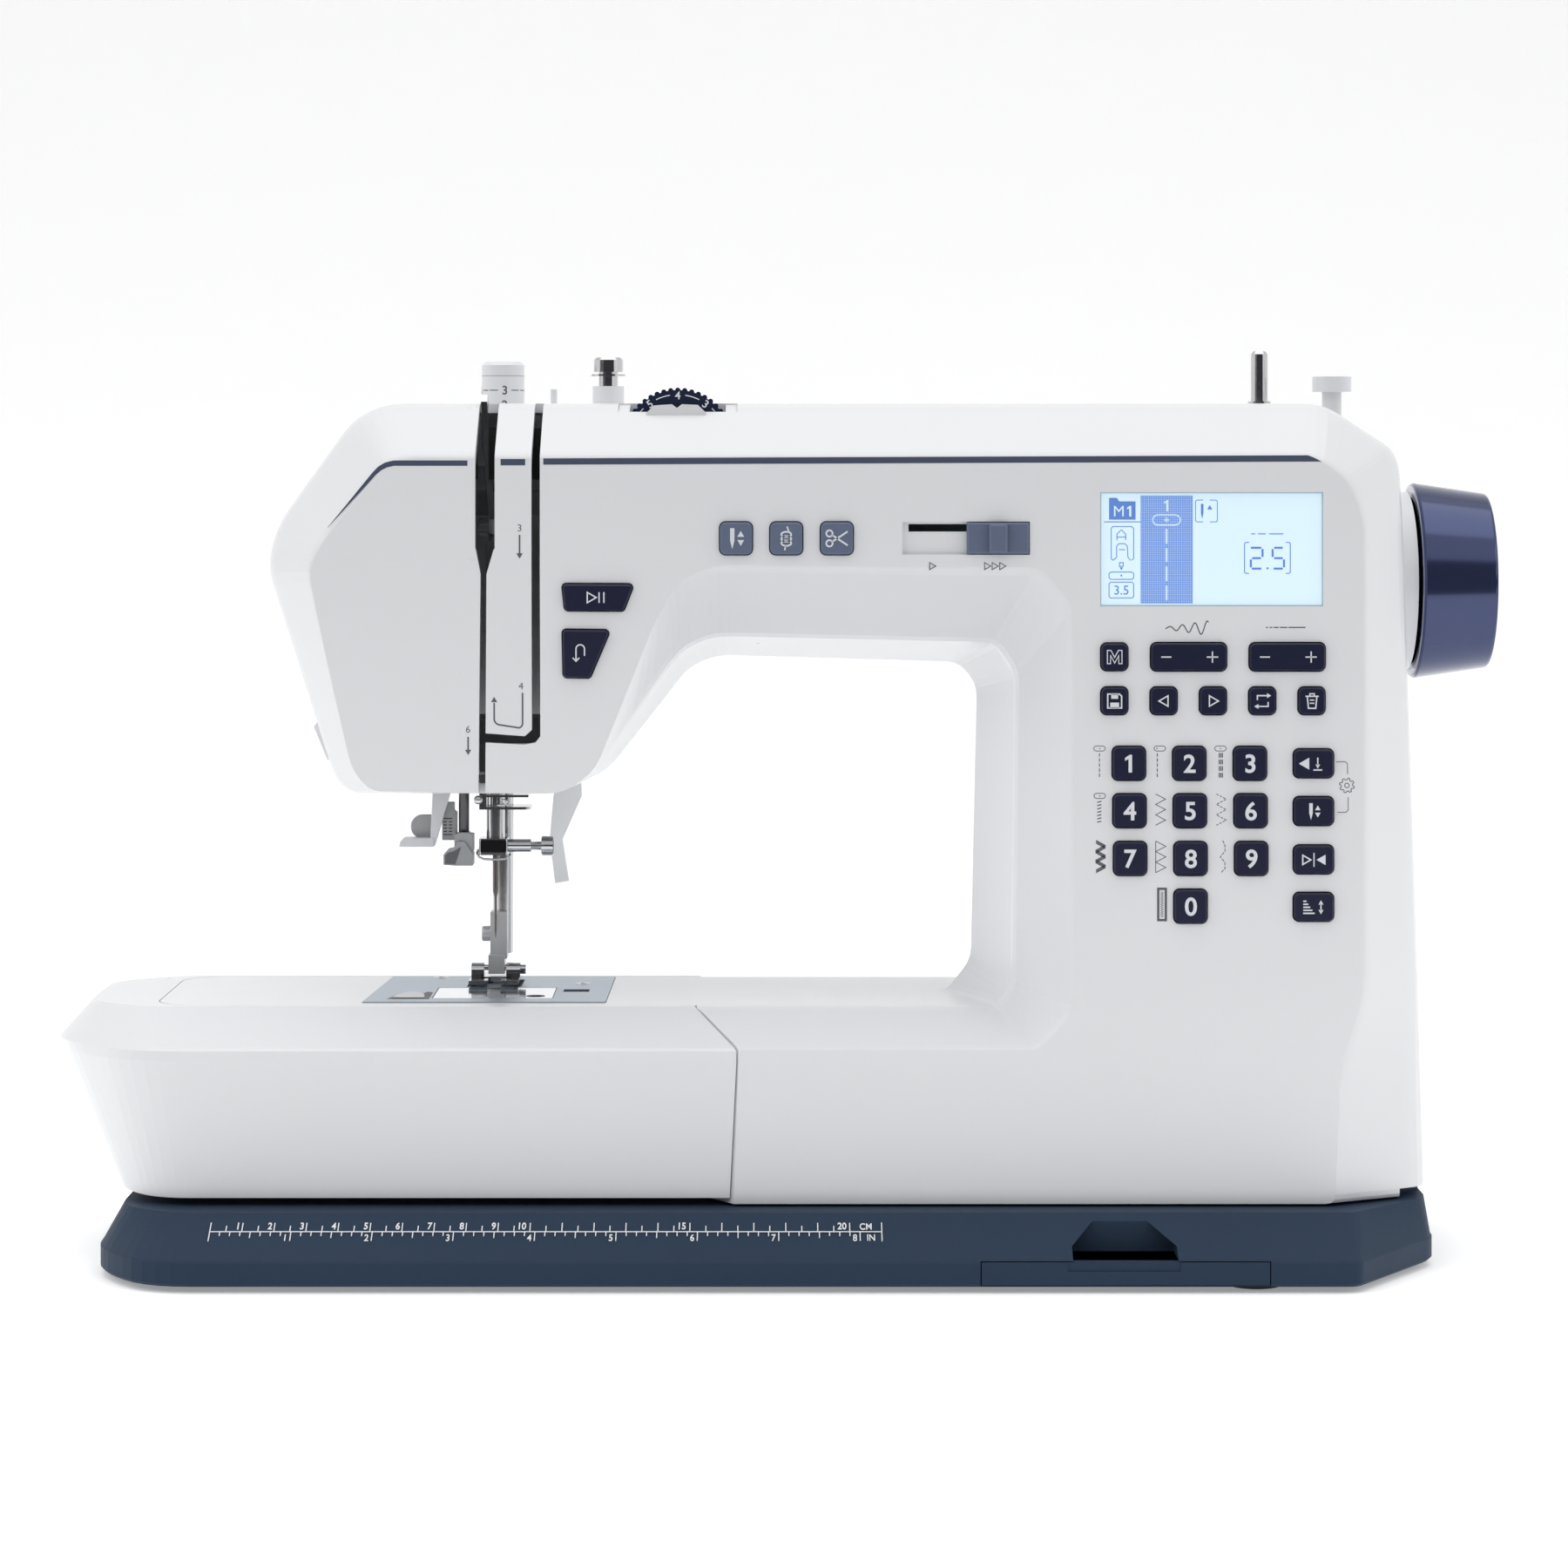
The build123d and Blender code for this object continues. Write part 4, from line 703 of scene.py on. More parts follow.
class SEWING_OT_panel_prints(bpy.types.Operator):
    """Draws the stitch pictures, arrows and signs beside the keys and the slider"""

    bl_idname = "sewing.panel_prints"
    bl_label = "Panel prints"

    def execute(self, context):
        d = Drawing(flat_map((0, FACE_Y, 0)))
        thin = sizes().print_line / MM
        for x in (49.5, 66.9, 69.3, 71.7):
            d.line(triangle(x, 224.6, 1.3), 0.26, closed=True)
        for x, z, dot in ((102.6, 166.9, 0.1), (121.7, 166.9, -0.9), (140.9, 166.9, 0.0),
                          (102.7, 151.9, 0.0)):
            draw_foot_mark(d, x, z, dot)
        dashes(d, [(102.6, 165.4), (102.6, 157.6)], 0.3, 1.1, 0.5)
        dashes(d, [(120.9, 165.4), (120.9, 157.6)], 0.3, 1.1, 0.5)
        for x in (140.5, 141.0, 141.5):
            dashes(d, [(x, 165.5), (x, 157.7)], 0.34, 1.5, 0.6)
        for z in np.arange(150.2, 142.9, -1.05):
            d.line([(101.9, z - 0.35), (103.2, z)], 0.34)
        d.line(zigzag(120.4, 123.5, 152.5, 142.6, 6), 0.24)
        dashes(d, zigzag(139.6, 142.7, 152.5, 142.6, 6), 0.26, 0.8, 0.4)
        for shift in (-0.42, 0.0, 0.42):
            d.line(zigzag(101.5, 104.4, 137.4 + shift, 128.0 + shift, 6), thin)
        d.line(zigzag(120.4, 123.6, 137.6, 127.6, 6), 0.24)
        d.line([(120.4, 137.6), (120.4, 127.6)], 0.24)
        dashes(d, [(141.6, 137.8), (142.3, 136.2), (142.3, 134.4), (140.8, 132.6),
                   (142.3, 130.9), (142.3, 128.9), (141.1, 127.6)], 0.26, 1.0, 0.35)
        d.line([(121.2, 122.5), (123.6, 122.5), (123.6, 112.6), (121.2, 112.6)], 0.75, closed=True)
        d.line(zigzag(122.0, 122.8, 121.6, 113.5, 24), 0.16)
        draw_gear(d, 180.9, 155.2)
        d.line([(177.5, 162.7), (180.4, 162.7), (181.1, 162.0), (181.1, 158.8)], 0.22)
        d.line([(181.3, 151.5), (181.3, 147.4), (180.6, 146.7), (177.9, 146.7)], 0.22)
        # a wave whose swing grows from left to right
        t = np.linspace(0, 1, 60)
        d.line(np.column_stack([123.5 + 13.6 * t,
                                205.0 + (0.3 + 2.0 * t) * np.sin(2 * np.pi * (3.45 * t - 0.1))]),
               0.34)
        for x0, x1 in ((155.3, 155.9), (156.5, 157.3), (157.7, 159.3), (159.7, 162.0),
                       (162.4, 167.8)):
            d.line([(x0, 205.2), (x1, 205.2)], 0.36)
        d.piece("panel_prints", "casing", "print_grey")
        return {"FINISHED"}


class SEWING_OT_threading_prints(bpy.types.Operator):
    """Draws the numbered threading arrows on the head"""

    bl_idname = "sewing.threading_prints"
    bl_label = "Threading prints"

    def execute(self, context):
        upper = Drawing(flat_map((0, FACE_Y, 0)))
        upper.figures("3", 2.2, -80.9, 236.7)
        upper.arrow(-80.9, 234.5, 227.0)
        lower = Drawing(head_plane(-84.6, 178.0))
        lower.figures("4", 2.2, 4.0, 8.6)
        path = np.vstack([[(4.5, 6.4), (4.5, -3.4)], arc(3.0, -3.3, 1.5, -5, -75, 5),
                          arc(-2.6, -1.9, 1.9, 255, 185, 5), [(-4.5, 3.2)]])
        lower.line(path, 0.5)
        lower.area(triangle(-4.5, 4.0, 1.15, 90))
        lower.figures("6", 2.2, -12.8, -5.2)
        lower.arrow(-12.8, -7.6, -13.4)
        upper.piece("threading_prints_upper", "casing", "print_grey")
        lower.piece("threading_prints_lower", "casing", "print_grey")
        return {"FINISHED"}


# ---- display -------------------------------------------------------------------------
DISPLAY = (102.9, 173.4, 211.9, 248.0)      # x and z of the window that shows the display


def bracketed(d, x0, y0, x1, y1, width, gap=0.22):
    """Box of two brackets that leave a gap in the middle of its top and bottom."""
    middle, open_half = (x0 + x1) / 2, (x1 - x0) * gap / 2
    for side, edge in ((-1, x0), (1, x1)):
        near = middle + side * open_half
        inset = edge - side * 0.4
        d.line([(near, y0), (inset, y0), (edge, y0 - 0.4), (edge, y1 + 0.4), (inset, y1),
                (near, y1)], width)


class SEWING_OT_display_picture(bpy.types.Operator):
    """Draws what the display shows: a stitch column, small signs and the stitch length.
    Places are millimetres right of, and (below zero) down from, the window's top left corner"""

    bl_idname = "sewing.display_picture"
    bl_label = "Display picture"

    def execute(self, context):
        x0, x1, z0, z1 = DISPLAY
        wide, tall = x1 - x0, z1 - z0
        place = flat_map((x0, box_mm("display_panel")[0][1], z1))
        ground = Drawing(place)
        ground.area([(12.8, -35.2), (29.3, -35.2), (29.3, -1.1), (12.8, -1.1)])
        ground.piece("stitch_column", "casing", "screen_column")
        front = Drawing(place, low=INK_PROUD, high=2 * INK_PROUD)
        for x in np.arange(13.2, 29.2, 0.7):
            front.line([(x, -1.2), (x, -35.1)], 0.06)
        for y in np.arange(-1.6, -35.1, -0.7):
            front.line([(12.9, y), (29.2, y)], 0.06)
        draw_one(front, 3.6, 21.0, -4.3)
        ends = np.vstack([arc(23.8, -8.8, 1.6, -90, 90, 6), arc(18.2, -8.8, 1.6, 90, 270, 6)])
        front.line(ends, 0.42, closed=True)
        front.line([(20.2, -8.8), (21.8, -8.8)], 0.5)
        front.line([(21.0, -8.0), (21.0, -9.6)], 0.5)
        for top, bottom in ((-11.6, -16.4), (-17.7, -22.1), (-23.5, -28.2), (-29.5, -34.2)):
            front.line([(21.0, top), (21.0, bottom)], 0.62)
        front.piece("stitch_column_marks", "casing", "screen_light")

        d = Drawing(place)
        d.area([(2.8, -8.7), (11.2, -8.7), (11.2, -2.9), (6.0, -2.9), (5.3, -1.8), (2.8, -1.8)])
        d.line([(1.2, -9.4), (12.8, -9.4)], 0.28)
        d.line([(4.0, -21.6), (3.5, -21.0), (3.5, -11.5), (3.9, -10.9), (10.0, -10.9),
                (10.6, -11.5), (10.6, -21.0), (10.0, -21.6)], 0.26)
        d.line([(5.3, -15.2), (5.3, -13.3), (6.7, -11.9), (8.1, -13.3), (8.1, -15.2)], 0.26)
        d.line([(5.3, -14.2), (8.1, -14.2)], 0.26)
        d.line([(4.1, -21.6), (5.2, -20.6), (5.2, -17.1), (5.9, -16.3), (7.8, -16.3),
                (8.6, -17.1), (8.8, -20.6), (9.6, -21.6)], 0.26)
        d.line([(5.9, -18.2), (7.9, -18.2)], 0.26)
        d.line([(6.1, -22.3), (7.3, -22.3), (7.3, -23.5), (6.1, -23.5)], 0.26, closed=True)
        d.area(triangle(6.7, -24.1, 0.6, 270))
        for y0, y1 in ((-25.3, -27.6), (-28.5, -33.5)):
            d.line([(3.3, y0), (10.1, y0), (10.6, y0 - 0.5), (10.6, y1 + 0.5), (10.1, y1),
                    (3.3, y1), (2.8, y1 + 0.5), (2.8, y0 - 0.5)], 0.26, closed=True)
        d.dot(6.7, -26.4, 0.3)
        d.figures("3.5", 2.9, 6.7, -31.0)
        bracketed(d, 30.2, -2.5, 37.1, -9.4, 0.24, 0.3)
        d.area([(31.9, -3.7), (31.9, -6.6), (32.3, -8.5), (32.7, -6.6), (32.7, -3.7)])
        d.area(triangle(34.7, -5.0, 0.95, 90))
        for x0, x1 in ((47.8, 49.1), (50.0, 52.4), (53.5, 58.0)):
            d.line([(x0, -13.2), (x1, -13.2)], 0.3)
        bracketed(d, 45.7, -15.9, 60.2, -25.7, 0.28, 0.8)
        # strokes of the two seven-stroke figures, then the point between them
        for a, b in (((47.7, -17.6), (51.0, -17.6)), ((51.4, -18.0), (51.4, -20.5)),
                     ((48.1, -20.9), (50.9, -20.9)), ((47.7, -21.3), (47.7, -23.8)),
                     ((48.0, -24.2), (51.0, -24.2)), ((55.1, -17.6), (57.8, -17.6)),
                     ((54.6, -18.0), (54.6, -20.5)), ((55.1, -20.9), (57.8, -20.9)),
                     ((58.2, -21.3), (58.2, -23.8)), ((54.9, -24.2), (57.8, -24.2))):
            d.line([a, b], 0.65)
        d.dot(53.0, -24.1, 0.35)
        d.piece("display_signs", "casing", "screen_ink")
        mark = Drawing(place, low=INK_PROUD, high=2 * INK_PROUD)
        mark.figures("M", 3.4, 5.9, -6.0)
        draw_one(mark, 3.4, 9.3, -6.0)
        mark.piece("display_folder_mark", "casing", "screen_light")
        frame_line = Drawing(place)
        frame_line.line([(0.2, -0.2), (wide - 0.2, -0.2), (wide - 0.2, 0.2 - tall),
                         (0.2, 0.2 - tall)], 0.28, closed=True)
        frame_line.piece("display_edge", "casing", "screen_edge")
        return {"FINISHED"}


# ---- dials ---------------------------------------------------------------------------
DIAL_STEP = 35.0            # degrees between two figures of the tension dial
DIAL_FIGURE_R = 15.6
DIAL_FACE_Y = -39.0


class SEWING_OT_dial_marks(bpy.types.Operator):
    """Draws the figures of the tension dial and of the presser-pressure knob"""

    bl_idname = "sewing.dial_marks"
    bl_label = "Dial marks"

    def execute(self, context):
        _, (x, _, z), _ = box_mm("tension_dial")
        d = Drawing(flat_map((x, DIAL_FACE_Y, z)))
        for figure in range(10):
            angle = 90.0 + (figure - 4) * DIAL_STEP
            t = math.radians(angle)
            d.figures(str(figure), 2.5, DIAL_FIGURE_R * math.cos(t),
                      DIAL_FIGURE_R * math.sin(t), 0.05, angle - 90.0)
            if figure < 9:
                d.line(arc(0, 0, DIAL_FIGURE_R + 0.2, angle + 9, angle + DIAL_STEP - 9, 8), 0.3)
        d.piece("tension_dial_figures", "tension_dial", "print_white")

        _, (x, y, _), high = box_mm("pressure_knob")
        radius = high[0] - x
        k = Drawing(round_map((x, y), radius, 0.0))
        # the scale climbs round the knob: seven figures on a line that rises a turn at a time
        for figure, turn, height in ((3, 8, 281.9), (2, 8, 277.0), (4, 98, 281.9),
                                     (5, 188, 281.9), (1, -82, 277.0), (6, 278, 281.9)):
            k.figures(str(figure), 2.9, math.radians(turn) * radius, height, 0.06)
            for side in (-1, 1):
                near, far = math.radians(turn + side * 18), math.radians(turn + side * 42)
                k.line(np.column_stack([np.linspace(near, far, 5) * radius,
                                        np.full(5, height)]), 0.3)
        k.piece("pressure_knob_figures", "pressure_knob", "print_grey")
        top = high[2]
        dome = np.linspace(0, math.pi / 2, 9)
        profile = np.column_stack([top - 2.6 + 2.6 * np.sin(dome),
                                   0.06 + radius * 0.98 * np.cos(dome) ** 0.35])
        # a thin grey ring where the dome meets the knob: painted shade in the groove there
        groove_shade = [(top - 5.0, radius), (top - 4.9, radius + 0.05), (top - 4.75, radius + 0.05),
                  (top - 4.65, radius)]
        link_piece("pressure_knob_dome", *turned(profile, (x, y, 0), (0, 0, 1), 40),
                   "pressure_knob", "white_moulding", smooth=True)
        link_piece("pressure_knob_groove_shade", *turned(groove_shade, (x, y, 0), (0, 0, 1), 40),
                   "pressure_knob", "pale_grey_clip", smooth=True)
        return {"FINISHED"}


# ---- handwheel -----------------------------------------------------------------------
RIM_RADIUS, RIM_HALF_WIDTH, RIM_HALF_HEIGHT = 30.4, 0.25, 1.1


class SEWING_OT_handwheel_rim(bpy.types.Operator):
    """Makes the bright inner rim of the handwheel: a ring whose section is a flat oval. Its pale
    lavender is a painted highlight, standing for the rim's bright reflection.
    """

    bl_idname = "sewing.handwheel_rim"
    bl_label = "Handwheel rim"

    def execute(self, context):
        (x, _, _), (_, y, z), _ = box_mm("handwheel")
        section, sides = 12, 72
        t = np.linspace(0, 2 * np.pi, section, endpoint=False)
        along = x + 0.1 + RIM_HALF_WIDTH * np.cos(t)
        radius = RIM_RADIUS + RIM_HALF_HEIGHT * np.sin(t)
        a = np.linspace(0, 2 * np.pi, sides, endpoint=False)[:, None]
        points = np.stack([np.broadcast_to(along, (sides, section)),
                           y + radius * np.cos(a), z + radius * np.sin(a)], -1)
        i, j = np.meshgrid(np.arange(sides), np.arange(section), indexing="ij")
        i2, j2 = (i + 1) % sides, (j + 1) % section
        quads = np.stack([i * section + j, i * section + j2, i2 * section + j2,
                          i2 * section + j], -1)
        # the ring's pale colour is a painted highlight of the rim's reflection
        link_piece("handwheel_rim", points.reshape(-1, 3),
                   [tuple(q) for q in quads.reshape(-1, 4).tolist()], "handwheel",
                   "rim_painted_highlight", smooth=True)
        return {"FINISHED"}


# ---- threader and needle fittings ----------------------------------------------------
NEEDLE_Y = 23.0             # depth of the needle's line
CLAMP_FACE_Y = 18.0
PLATE_SCREWS = {"plate_screw_left": (-113.3, 41.0), "plate_screw_right": (-64.5, 24.0)}


class SEWING_OT_threader(bpy.types.Operator):
    """Makes the needle threader: guide rod, grey clip with its hook, vented box and the
    white lever with its thumb pad"""

    bl_idname = "sewing.threader"
    bl_label = "Needle threader"

    def execute(self, context):
        body = "needle_threader"
        top, y = box_mm("needle_threader")[2][2], NEEDLE_Y
        rod = turned([(133.0, 1.6), (133.3, 1.75), (top - 0.3, 1.75), (top, 1.6)],
                     (-104.3, y, 0), (0, 0, 1), 24)
        pieces = [link_piece("threader_rod", *rod, body, "dark_steel", smooth=True,
                             slot="pale_grey_clip")]
        clip = slab([(-107.3, 127.4), (-101.0, 127.4), (-101.0, 133.3), (-102.3, 133.3),
                     (-102.6, 133.8), (-106.1, 133.8), (-106.4, 133.3), (-107.3, 133.3)],
                    y - 3.6, y + 3.8)
        hook = slab([(-110.9, 123.1), (-107.0, 122.8), (-101.0, 122.8), (-101.0, 126.8),
                     (-103.9, 131.0), (-105.9, 131.0), (-107.8, 128.4), (-109.6, 128.0),
                     (-110.9, 126.5)], y - 4.6, y + 3.9)
        pieces.append(eased(link_piece("threader_clip", *clip, body, "pale_grey_clip"), 0.25))
        pieces.append(eased(link_piece("threader_hook", *hook, body, "pale_grey_clip"), 0.3))
        # a thin dark sheet on the hook's lower facet, in the clip_shade finish: painted shade of
        # that facet
        shaded_facet = slab([(-110.3, 123.5), (-106.9, 123.3), (-104.9, 129.2), (-107.6, 127.6),
                      (-109.3, 127.2), (-110.3, 126.2)], y - 4.75, y - 4.4)
        link_piece("threader_shaded_facet", *shaded_facet, body, "clip_shade", slot="pale_grey_clip")
        box = slab([(-111.7, 130.9), (-106.7, 130.9), (-106.7, 140.2), (-107.6, 140.9),
                    (-107.6, 143.6), (-110.6, 143.6), (-110.6, 140.9), (-111.7, 140.2)],
                   y + 0.6, y + 4.4)
        pieces.append(eased(link_piece("threader_box", *box, body, "pale_grey_clip"), 0.25))
        # the black strips on the box are painted shade, standing for the dark insides of its vent
        # slits
        vent_shade = Drawing(flat_map((0, y + 0.6, 0)), low=-0.1, high=0.05)
        for row in range(6):
            z = 138.2 - row * 1.08
            if row in (0, 5):
                vent_shade.line([(-111.2, z), (-108.3, z)], 0.34)
            else:
                vent_shade.line([(-111.2, z), (-110.1, z)], 0.34)
                vent_shade.line([(-109.4, z), (-108.3, z)], 0.34)
        vent_shade.piece("threader_vent_shade", body, "black_switch")
        knob = slab(np.vstack([arc(-118.6, 135.6, 3.7, 90, 180, 8),
                               arc(-118.6, 135.2, 3.7, 180, 270, 8),
                               [(-114.4, 131.5), (-114.4, 139.3)]]), y + 1.5, y + 4.6)
        pieces.append(eased(link_piece("threader_knob", *knob, body, "pale_grey_clip"), 0.4))
        lever = slab([(-115.6, 129.1), (-113.9, 129.1), (-108.5, 147.6), (-108.5, 156.0),
                      (-114.7, 156.0), (-114.7, 147.6)], y - 2.2, y + 0.4)
        pad = slab([(-125.9, 128.9), (-114.2, 128.9), (-114.2, 131.9), (-124.4, 131.9),
                    (-125.5, 130.9)], y - 2.8, y + 4.6)
        for name, shape in (("threader_lever", lever), ("threader_pad", pad)):
            piece = link_piece(name, *shape, body, "white_moulding", slot="white_moulding")
            pieces.append(eased(piece, 0.35))
        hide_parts("needle_threader")
        return {"FINISHED"}


class SEWING_OT_needle_fittings(bpy.types.Operator):
    """Makes the small metal details at the needle: clamp face, black as a painted dark reflection,
    wire hooks, screw thread and knurling"""

    bl_idname = "sewing.needle_fittings"
    bl_label = "Needle fittings"

    def execute(self, context):
        chrome = "bright_chrome"
        # a thin black gloss sheet on the chrome clamp's flat front: a painted dark reflection
        face = slab([(-98.2, 127.3), (-90.1, 127.3), (-89.8, 127.7), (-89.8, 131.0),
                     (-90.1, 131.4), (-98.2, 131.4), (-98.5, 131.0), (-98.5, 127.7)],
                    CLAMP_FACE_Y - 0.12, CLAMP_FACE_Y + 0.2)
        link_piece("clamp_face_reflection", *face, "needle_bar", "black_gloss", slot="bright_chrome")
        hook = wire([(-99.4, 21, 127.9), (-99.6, 19, 127.0), (-99.0, 18.2, 125.8),
                     (-97.4, 17.9, 125.1), (-94.0, 17.8, 124.9), (-90.5, 17.9, 125.1),
                     (-88.9, 18.3, 125.6), (-88.6, 19.4, 126.6)], 0.42)
        link_piece("needle_thread_hook", *hook, "needle_bar", chrome, smooth=True)
        screw = (0, NEEDLE_Y, 129.1)
        thread = [(x, 1.35 + 0.22 * (i % 2)) for i, x in enumerate(np.arange(-81.7, -78.2, 0.29))]
        link_piece("clamp_screw_thread", *turned(thread, screw, (1, 0, 0), 20),
                   "needle_bar", chrome, smooth=False)
        knurl = [(-78.3, 2.6), (-77.9, 3.1), (-74.8, 3.1), (-74.4, 2.6)]
        link_piece("clamp_knob_knurl", *turned(knurl, screw, (1, 0, 0), 96, 24, 0.16),
                   "needle_bar", chrome, smooth=True)
        curl = wire([(-92.5, 12.8, 143.4), (-90.4, 12.6, 143.6), (-89.2, 12.6, 144.6),
                     (-89.8, 12.7, 145.4), (-91.0, 12.8, 145.2), (-90.9, 13.0, 144.0),
                     (-88.5, 13.0, 143.2)], 0.34)
        button = turned([(12.4, 1.0), (12.9, 1.45), (14.2, 1.45)], (-98.9, 0, 145.2), (0, 1, 0), 20)
        link_piece("guide_wire", *joined(curl, button), "casing", chrome, smooth=True)
        for name, (x, y) in PLATE_SCREWS.items():
            head = turned([(82.55, 2.5), (82.95, 2.4), (83.05, 1.9)], (x, y, 0), (0, 0, 1), 24)
            link_piece(name, *head, "casing", chrome, smooth=False)
            # the black cross on each screw head is painted shade, standing for its cross recess
            cross = Drawing(flat_map((x, y, 83.05), up=(0, 1, 0)), low=-0.02, high=0.03)
            cross.line([(-1.5, 0.3), (1.5, -0.3)], 0.45)
            cross.line([(-0.3, -1.5), (0.3, 1.5)], 0.45)
            cross.piece(name + "_cross_recess_shade", "casing", "black_hook")
        return {"FINISHED"}


SLOT_SHADE = (252.0, 268.5, -41.0, -40.2)       # bottom, top, front and back of each dark sheet of painted shade
# clear of the take-up lever, which swings between x -94.6 and -92.6
SLOT_SHADE_SPANS = ((-98.6, -95.4), (-91.8, -86.6), (-80.5, -72.5))
CHEEK_REACH = (15.4, 19.0)                  # from the dial's middle to a cheek's two sides


class SEWING_OT_linings(bpy.types.Operator):
    """Makes dark sheets of painted shade behind the head's slots, and the cheeks beside the dial"""

    bl_idname = "sewing.linings"
    bl_label = "Slot shade"

    def execute(self, context):
        bottom, top, front, back = SLOT_SHADE
        shade_sheets = [slab([(x0, bottom), (x1, bottom), (x1, top), (x0, top)], front, back)
                   for x0, x1 in SLOT_SHADE_SPANS]
        # these dark sheets are painted shade: they darken the slots, whose insides would otherwise
        # show lit from above
        link_piece("slot_painted_shade", *joined(*shade_sheets), "casing", "black_switch")
        middle = box_mm("tension_dial")[1][0]
        cheeks = []
        for side in (-1, 1):
            near, far = sorted(middle + side * reach for reach in CHEEK_REACH)
            profile = [(-39.6, 271.0), (-39.6, 273.7), (-30.4, 276.0), (-30.4, 271.0)]
            points = np.array([(x, y, z) for x in (near, far) for y, z in profile])
            cheeks.append((points, ring_faces(2, 4)))
        link_piece("dial_cheeks", *joined(*cheeks), "casing", "white_moulding")
        return {"FINISHED"}


class SEWING_OT_latch(bpy.types.Operator):
    """Makes the latch of the bobbin cover's side: its recess shown as a flat black patch of painted
    shade, with a domed steel tongue
    """

    bl_idname = "sewing.latch"
    bl_label = "Cover latch"

    def execute(self, context):
        place = flat_map((0, 0, box_mm("needle_plate")[2][2]), up=(0, 1, 0))
        # a flat black patch where the latch's recess is: painted shade
        dark = Drawing(place, low=-0.05, high=0.04)
        dark.area([(-126.4, -18.6), (-112.8, -18.6), (-112.8, -1.0), (-114.6, 1.5),
                   (-116.0, -4.0), (-121.0, 0.5), (-124.6, -9.0)])
        dark.piece("latch_recess_shade", "casing", "black_hook")
        tongue = Drawing(place, low=0.03, high=0.30)
        tongue.area([(-125.0, -15.8), (-114.4, -15.8), (-115.2, -7.0), (-116.4, -3.6),
                     (-118.0, -1.4), (-120.0, -0.4), (-122.0, -2.6), (-123.8, -8.0)])
        piece = tongue.piece("latch_tongue", "casing", "satin_steel",
                             slot="stitch_plate")
        eased(piece, 0.12)
        return {"FINISHED"}


class SEWING_OT_socket(bpy.types.Operator):
    """Makes the contact pins in the power inlet and the mark on the switch"""

    bl_idname = "sewing.socket"
    bl_label = "Power inlet"

    def execute(self, context):
        pins = [turned([(193.2, 1.1), (203.0, 1.1), (204.0, 0.6)], (0, y, 58.0), (1, 0, 0), 16)
                for y in (29.8, 38.2)]
        link_piece("inlet_pins", *joined(*pins), "casing", "bright_chrome",
                   smooth=False)
        _, (_, y, z), high = box_mm("power_switch")
        d = Drawing(flat_map((high[0], y, z), right=(0, 1, 0)))
        d.ring(0, -3.0, 1.3, 0.4)
        d.line([(0, 1.8), (0, 4.4)], 0.4)
        d.piece("power_switch_marks", "power_switch", "print_white")
        return {"FINISHED"}


# ---- studio --------------------------------------------------------------------------
CAMERA_PLACE = (0.0, -1.428, 0.2549)
LENS, SENSOR = 99.4, 36.0               # millimetres
LENS_SHIFT = (0.0056, -0.20)
# name, place, aim, width, height and power of each soft light
SOFT_LIGHTS = (("top_softbox", (0.0, -0.1, 1.5), (0.0, 0.0, 0.1), 1.8, 1.2, 6.5),
               ("left_softbox", (-1.3, -1.0, 0.9), (0.0, 0.0, 0.15), 0.9, 1.1, 3.5),
               ("right_softbox", (1.4, -0.9, 0.8), (0.0, 0.0, 0.15), 0.7, 1.1, 2.5))


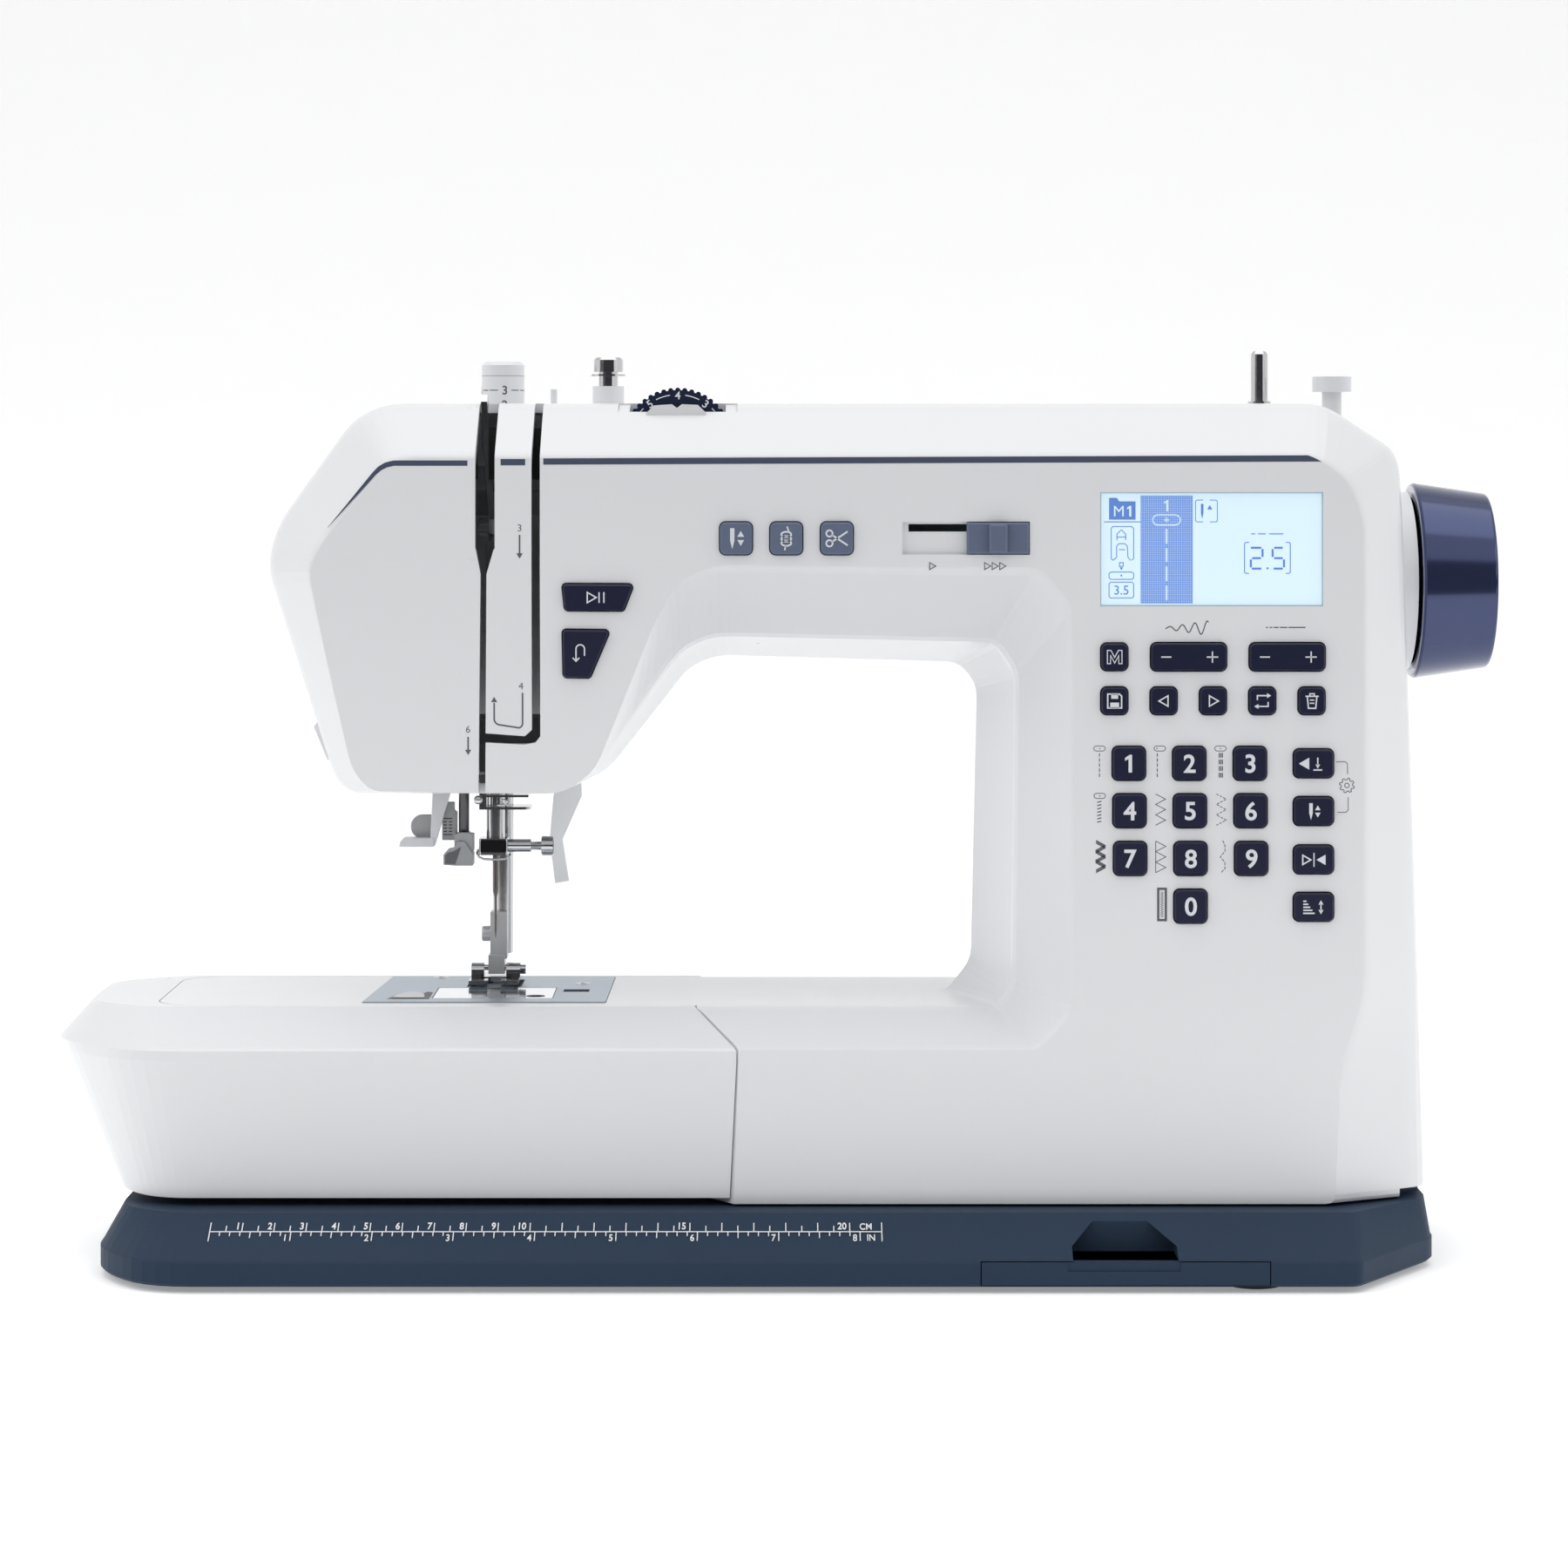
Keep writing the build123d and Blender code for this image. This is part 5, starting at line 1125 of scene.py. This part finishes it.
class SEWING_OT_stage(bpy.types.Operator):
    """Makes the studio floor, the soft lights and the camera"""

    bl_idname = "sewing.stage"
    bl_label = "Stage"

    def execute(self, context):
        scene = context.scene
        half = sizes().floor
        # a floor that runs back and curves up into a wall: a quarter circle of this radius
        bend, back, steps = 0.9, 1.6, 24
        t = np.linspace(0, math.pi / 2, steps)
        ys = np.concatenate([[-0.75], back + bend * np.sin(t), [back + bend]])
        zs = np.concatenate([[0.0], bend - bend * np.cos(t), [half]])
        left = np.stack([np.full_like(ys, -half), ys, zs], 1)
        right = left * (-1, 1, 1)
        n = len(ys)
        points = np.vstack([left, right])
        faces = [(i, n + i, n + i + 1, i + 1) for i in range(n - 1)]
        mesh = bpy.data.meshes.new("studio_floor")
        mesh.from_pydata(points.tolist(), [], faces)
        mesh.polygons.foreach_set("use_smooth", [True] * len(faces))
        floor = bpy.data.objects.new("studio_floor", mesh)
        scene.collection.objects.link(floor)
        mesh.materials.append(finish("studio_paper", (0.92, 0.92, 0.92), 0.9, 0.05, 300, 0.02,
                                     0.004, glow=0.30, specular=0.05))

        world = bpy.data.worlds.new("soft_studio")
        scene.world = world
        world.use_nodes = True
        nodes, links = world.node_tree.nodes, world.node_tree.links
        sky = nodes["Background"]
        sky.inputs["Strength"].default_value = 0.90
        # a dark band on the side that the machine faces, low over the horizon
        view = nodes.new("ShaderNodeTexCoord")
        parts = nodes.new("ShaderNodeSeparateXYZ")
        links.new(view.outputs["Generated"], parts.inputs["Vector"])

        def fade(source, start, end):
            ramp = nodes.new("ShaderNodeMapRange")
            ramp.interpolation_type = "SMOOTHSTEP"
            ramp.inputs["From Min"].default_value = start
            ramp.inputs["From Max"].default_value = end
            links.new(source, ramp.inputs["Value"])
            return ramp.outputs["Result"]

        ahead = fade(parts.outputs["Y"], -0.30, -0.48)
        under = fade(parts.outputs["Z"], 0.46, 0.36)
        both = nodes.new("ShaderNodeMath")
        both.operation = "MULTIPLY"
        links.new(ahead, both.inputs[0])
        links.new(under, both.inputs[1])
        shade = nodes.new("ShaderNodeMix")
        shade.data_type = "RGBA"
        shade.inputs["A"].default_value = (1.0, 1.0, 1.0, 1.0)
        shade.inputs["B"].default_value = (0.05, 0.05, 0.055, 1.0)
        links.new(both.outputs[0], shade.inputs["Factor"])
        path = nodes.new("ShaderNodeLightPath")
        clear = nodes.new("ShaderNodeMix")
        clear.data_type = "RGBA"
        clear.inputs["B"].default_value = (1.0, 1.0, 1.0, 1.0)
        links.new(shade.outputs["Result"], clear.inputs["A"])
        links.new(path.outputs["Is Camera Ray"], clear.inputs["Factor"])
        links.new(clear.outputs["Result"], sky.inputs["Color"])

        def soft_light(name, place, aim, width, height, power):
            lamp = bpy.data.lights.new(name, "AREA")
            lamp.shape = "RECTANGLE"
            lamp.size, lamp.size_y, lamp.energy = width, height, power
            holder = bpy.data.objects.new(name, lamp)
            scene.collection.objects.link(holder)
            away = np.asarray(place, float) - np.asarray(aim, float)
            holder.location = place
            turn = math.atan2(away[0], -away[1])
            tip = math.atan2(math.hypot(away[0], away[1]), away[2])
            holder.rotation_euler = (tip, 0.0, turn)

        for settings in SOFT_LIGHTS:
            soft_light(*settings)

        lens = bpy.data.cameras.new("front_camera")
        lens.lens, lens.sensor_width = LENS, SENSOR
        lens.shift_x, lens.shift_y = LENS_SHIFT
        camera = bpy.data.objects.new("front_camera", lens)
        camera.location = CAMERA_PLACE
        camera.rotation_euler = (math.pi / 2, 0.0, 0.0)
        scene.collection.objects.link(camera)
        scene.camera = camera
        scene.view_settings.view_transform = "Standard"
        return {"FINISHED"}


class SEWING_PT_panel(bpy.types.Panel):
    """Lists the sizes, the colours and the steps"""

    bl_idname = "SEWING_PT_panel"
    bl_label = "Sewing machine"
    bl_space_type = "VIEW_3D"
    bl_region_type = "UI"
    bl_category = "Sewing machine"

    def draw(self, context):
        for group in (context.scene.sewing_colours, context.scene.sewing_sizes):
            for name in group.__annotations__:
                self.layout.prop(group, name)
        for step in STEPS:
            self.layout.operator(step.bl_idname)


STEPS = (SEWING_OT_finishes, SEWING_OT_key_marks, SEWING_OT_stripe, SEWING_OT_rule,
         SEWING_OT_panel_prints, SEWING_OT_threading_prints, SEWING_OT_display_picture,
         SEWING_OT_dial_marks, SEWING_OT_handwheel_rim, SEWING_OT_threader,
         SEWING_OT_needle_fittings, SEWING_OT_linings, SEWING_OT_latch, SEWING_OT_socket,
         SEWING_OT_stage)
CLASSES = (SewingColours, SewingSizes, *STEPS, SEWING_PT_panel)


def register():
    for cls in CLASSES:
        bpy.utils.register_class(cls)
    bpy.types.Scene.sewing_colours = PointerProperty(type=SewingColours)
    bpy.types.Scene.sewing_sizes = PointerProperty(type=SewingSizes)


def unregister():
    del bpy.types.Scene.sewing_sizes
    del bpy.types.Scene.sewing_colours
    for cls in reversed(CLASSES):
        bpy.utils.unregister_class(cls)


def main():
    register()
    for step in STEPS:
        group, name = step.bl_idname.split(".")
        getattr(getattr(bpy.ops, group), name)()


if __name__ == "__main__":
    main()
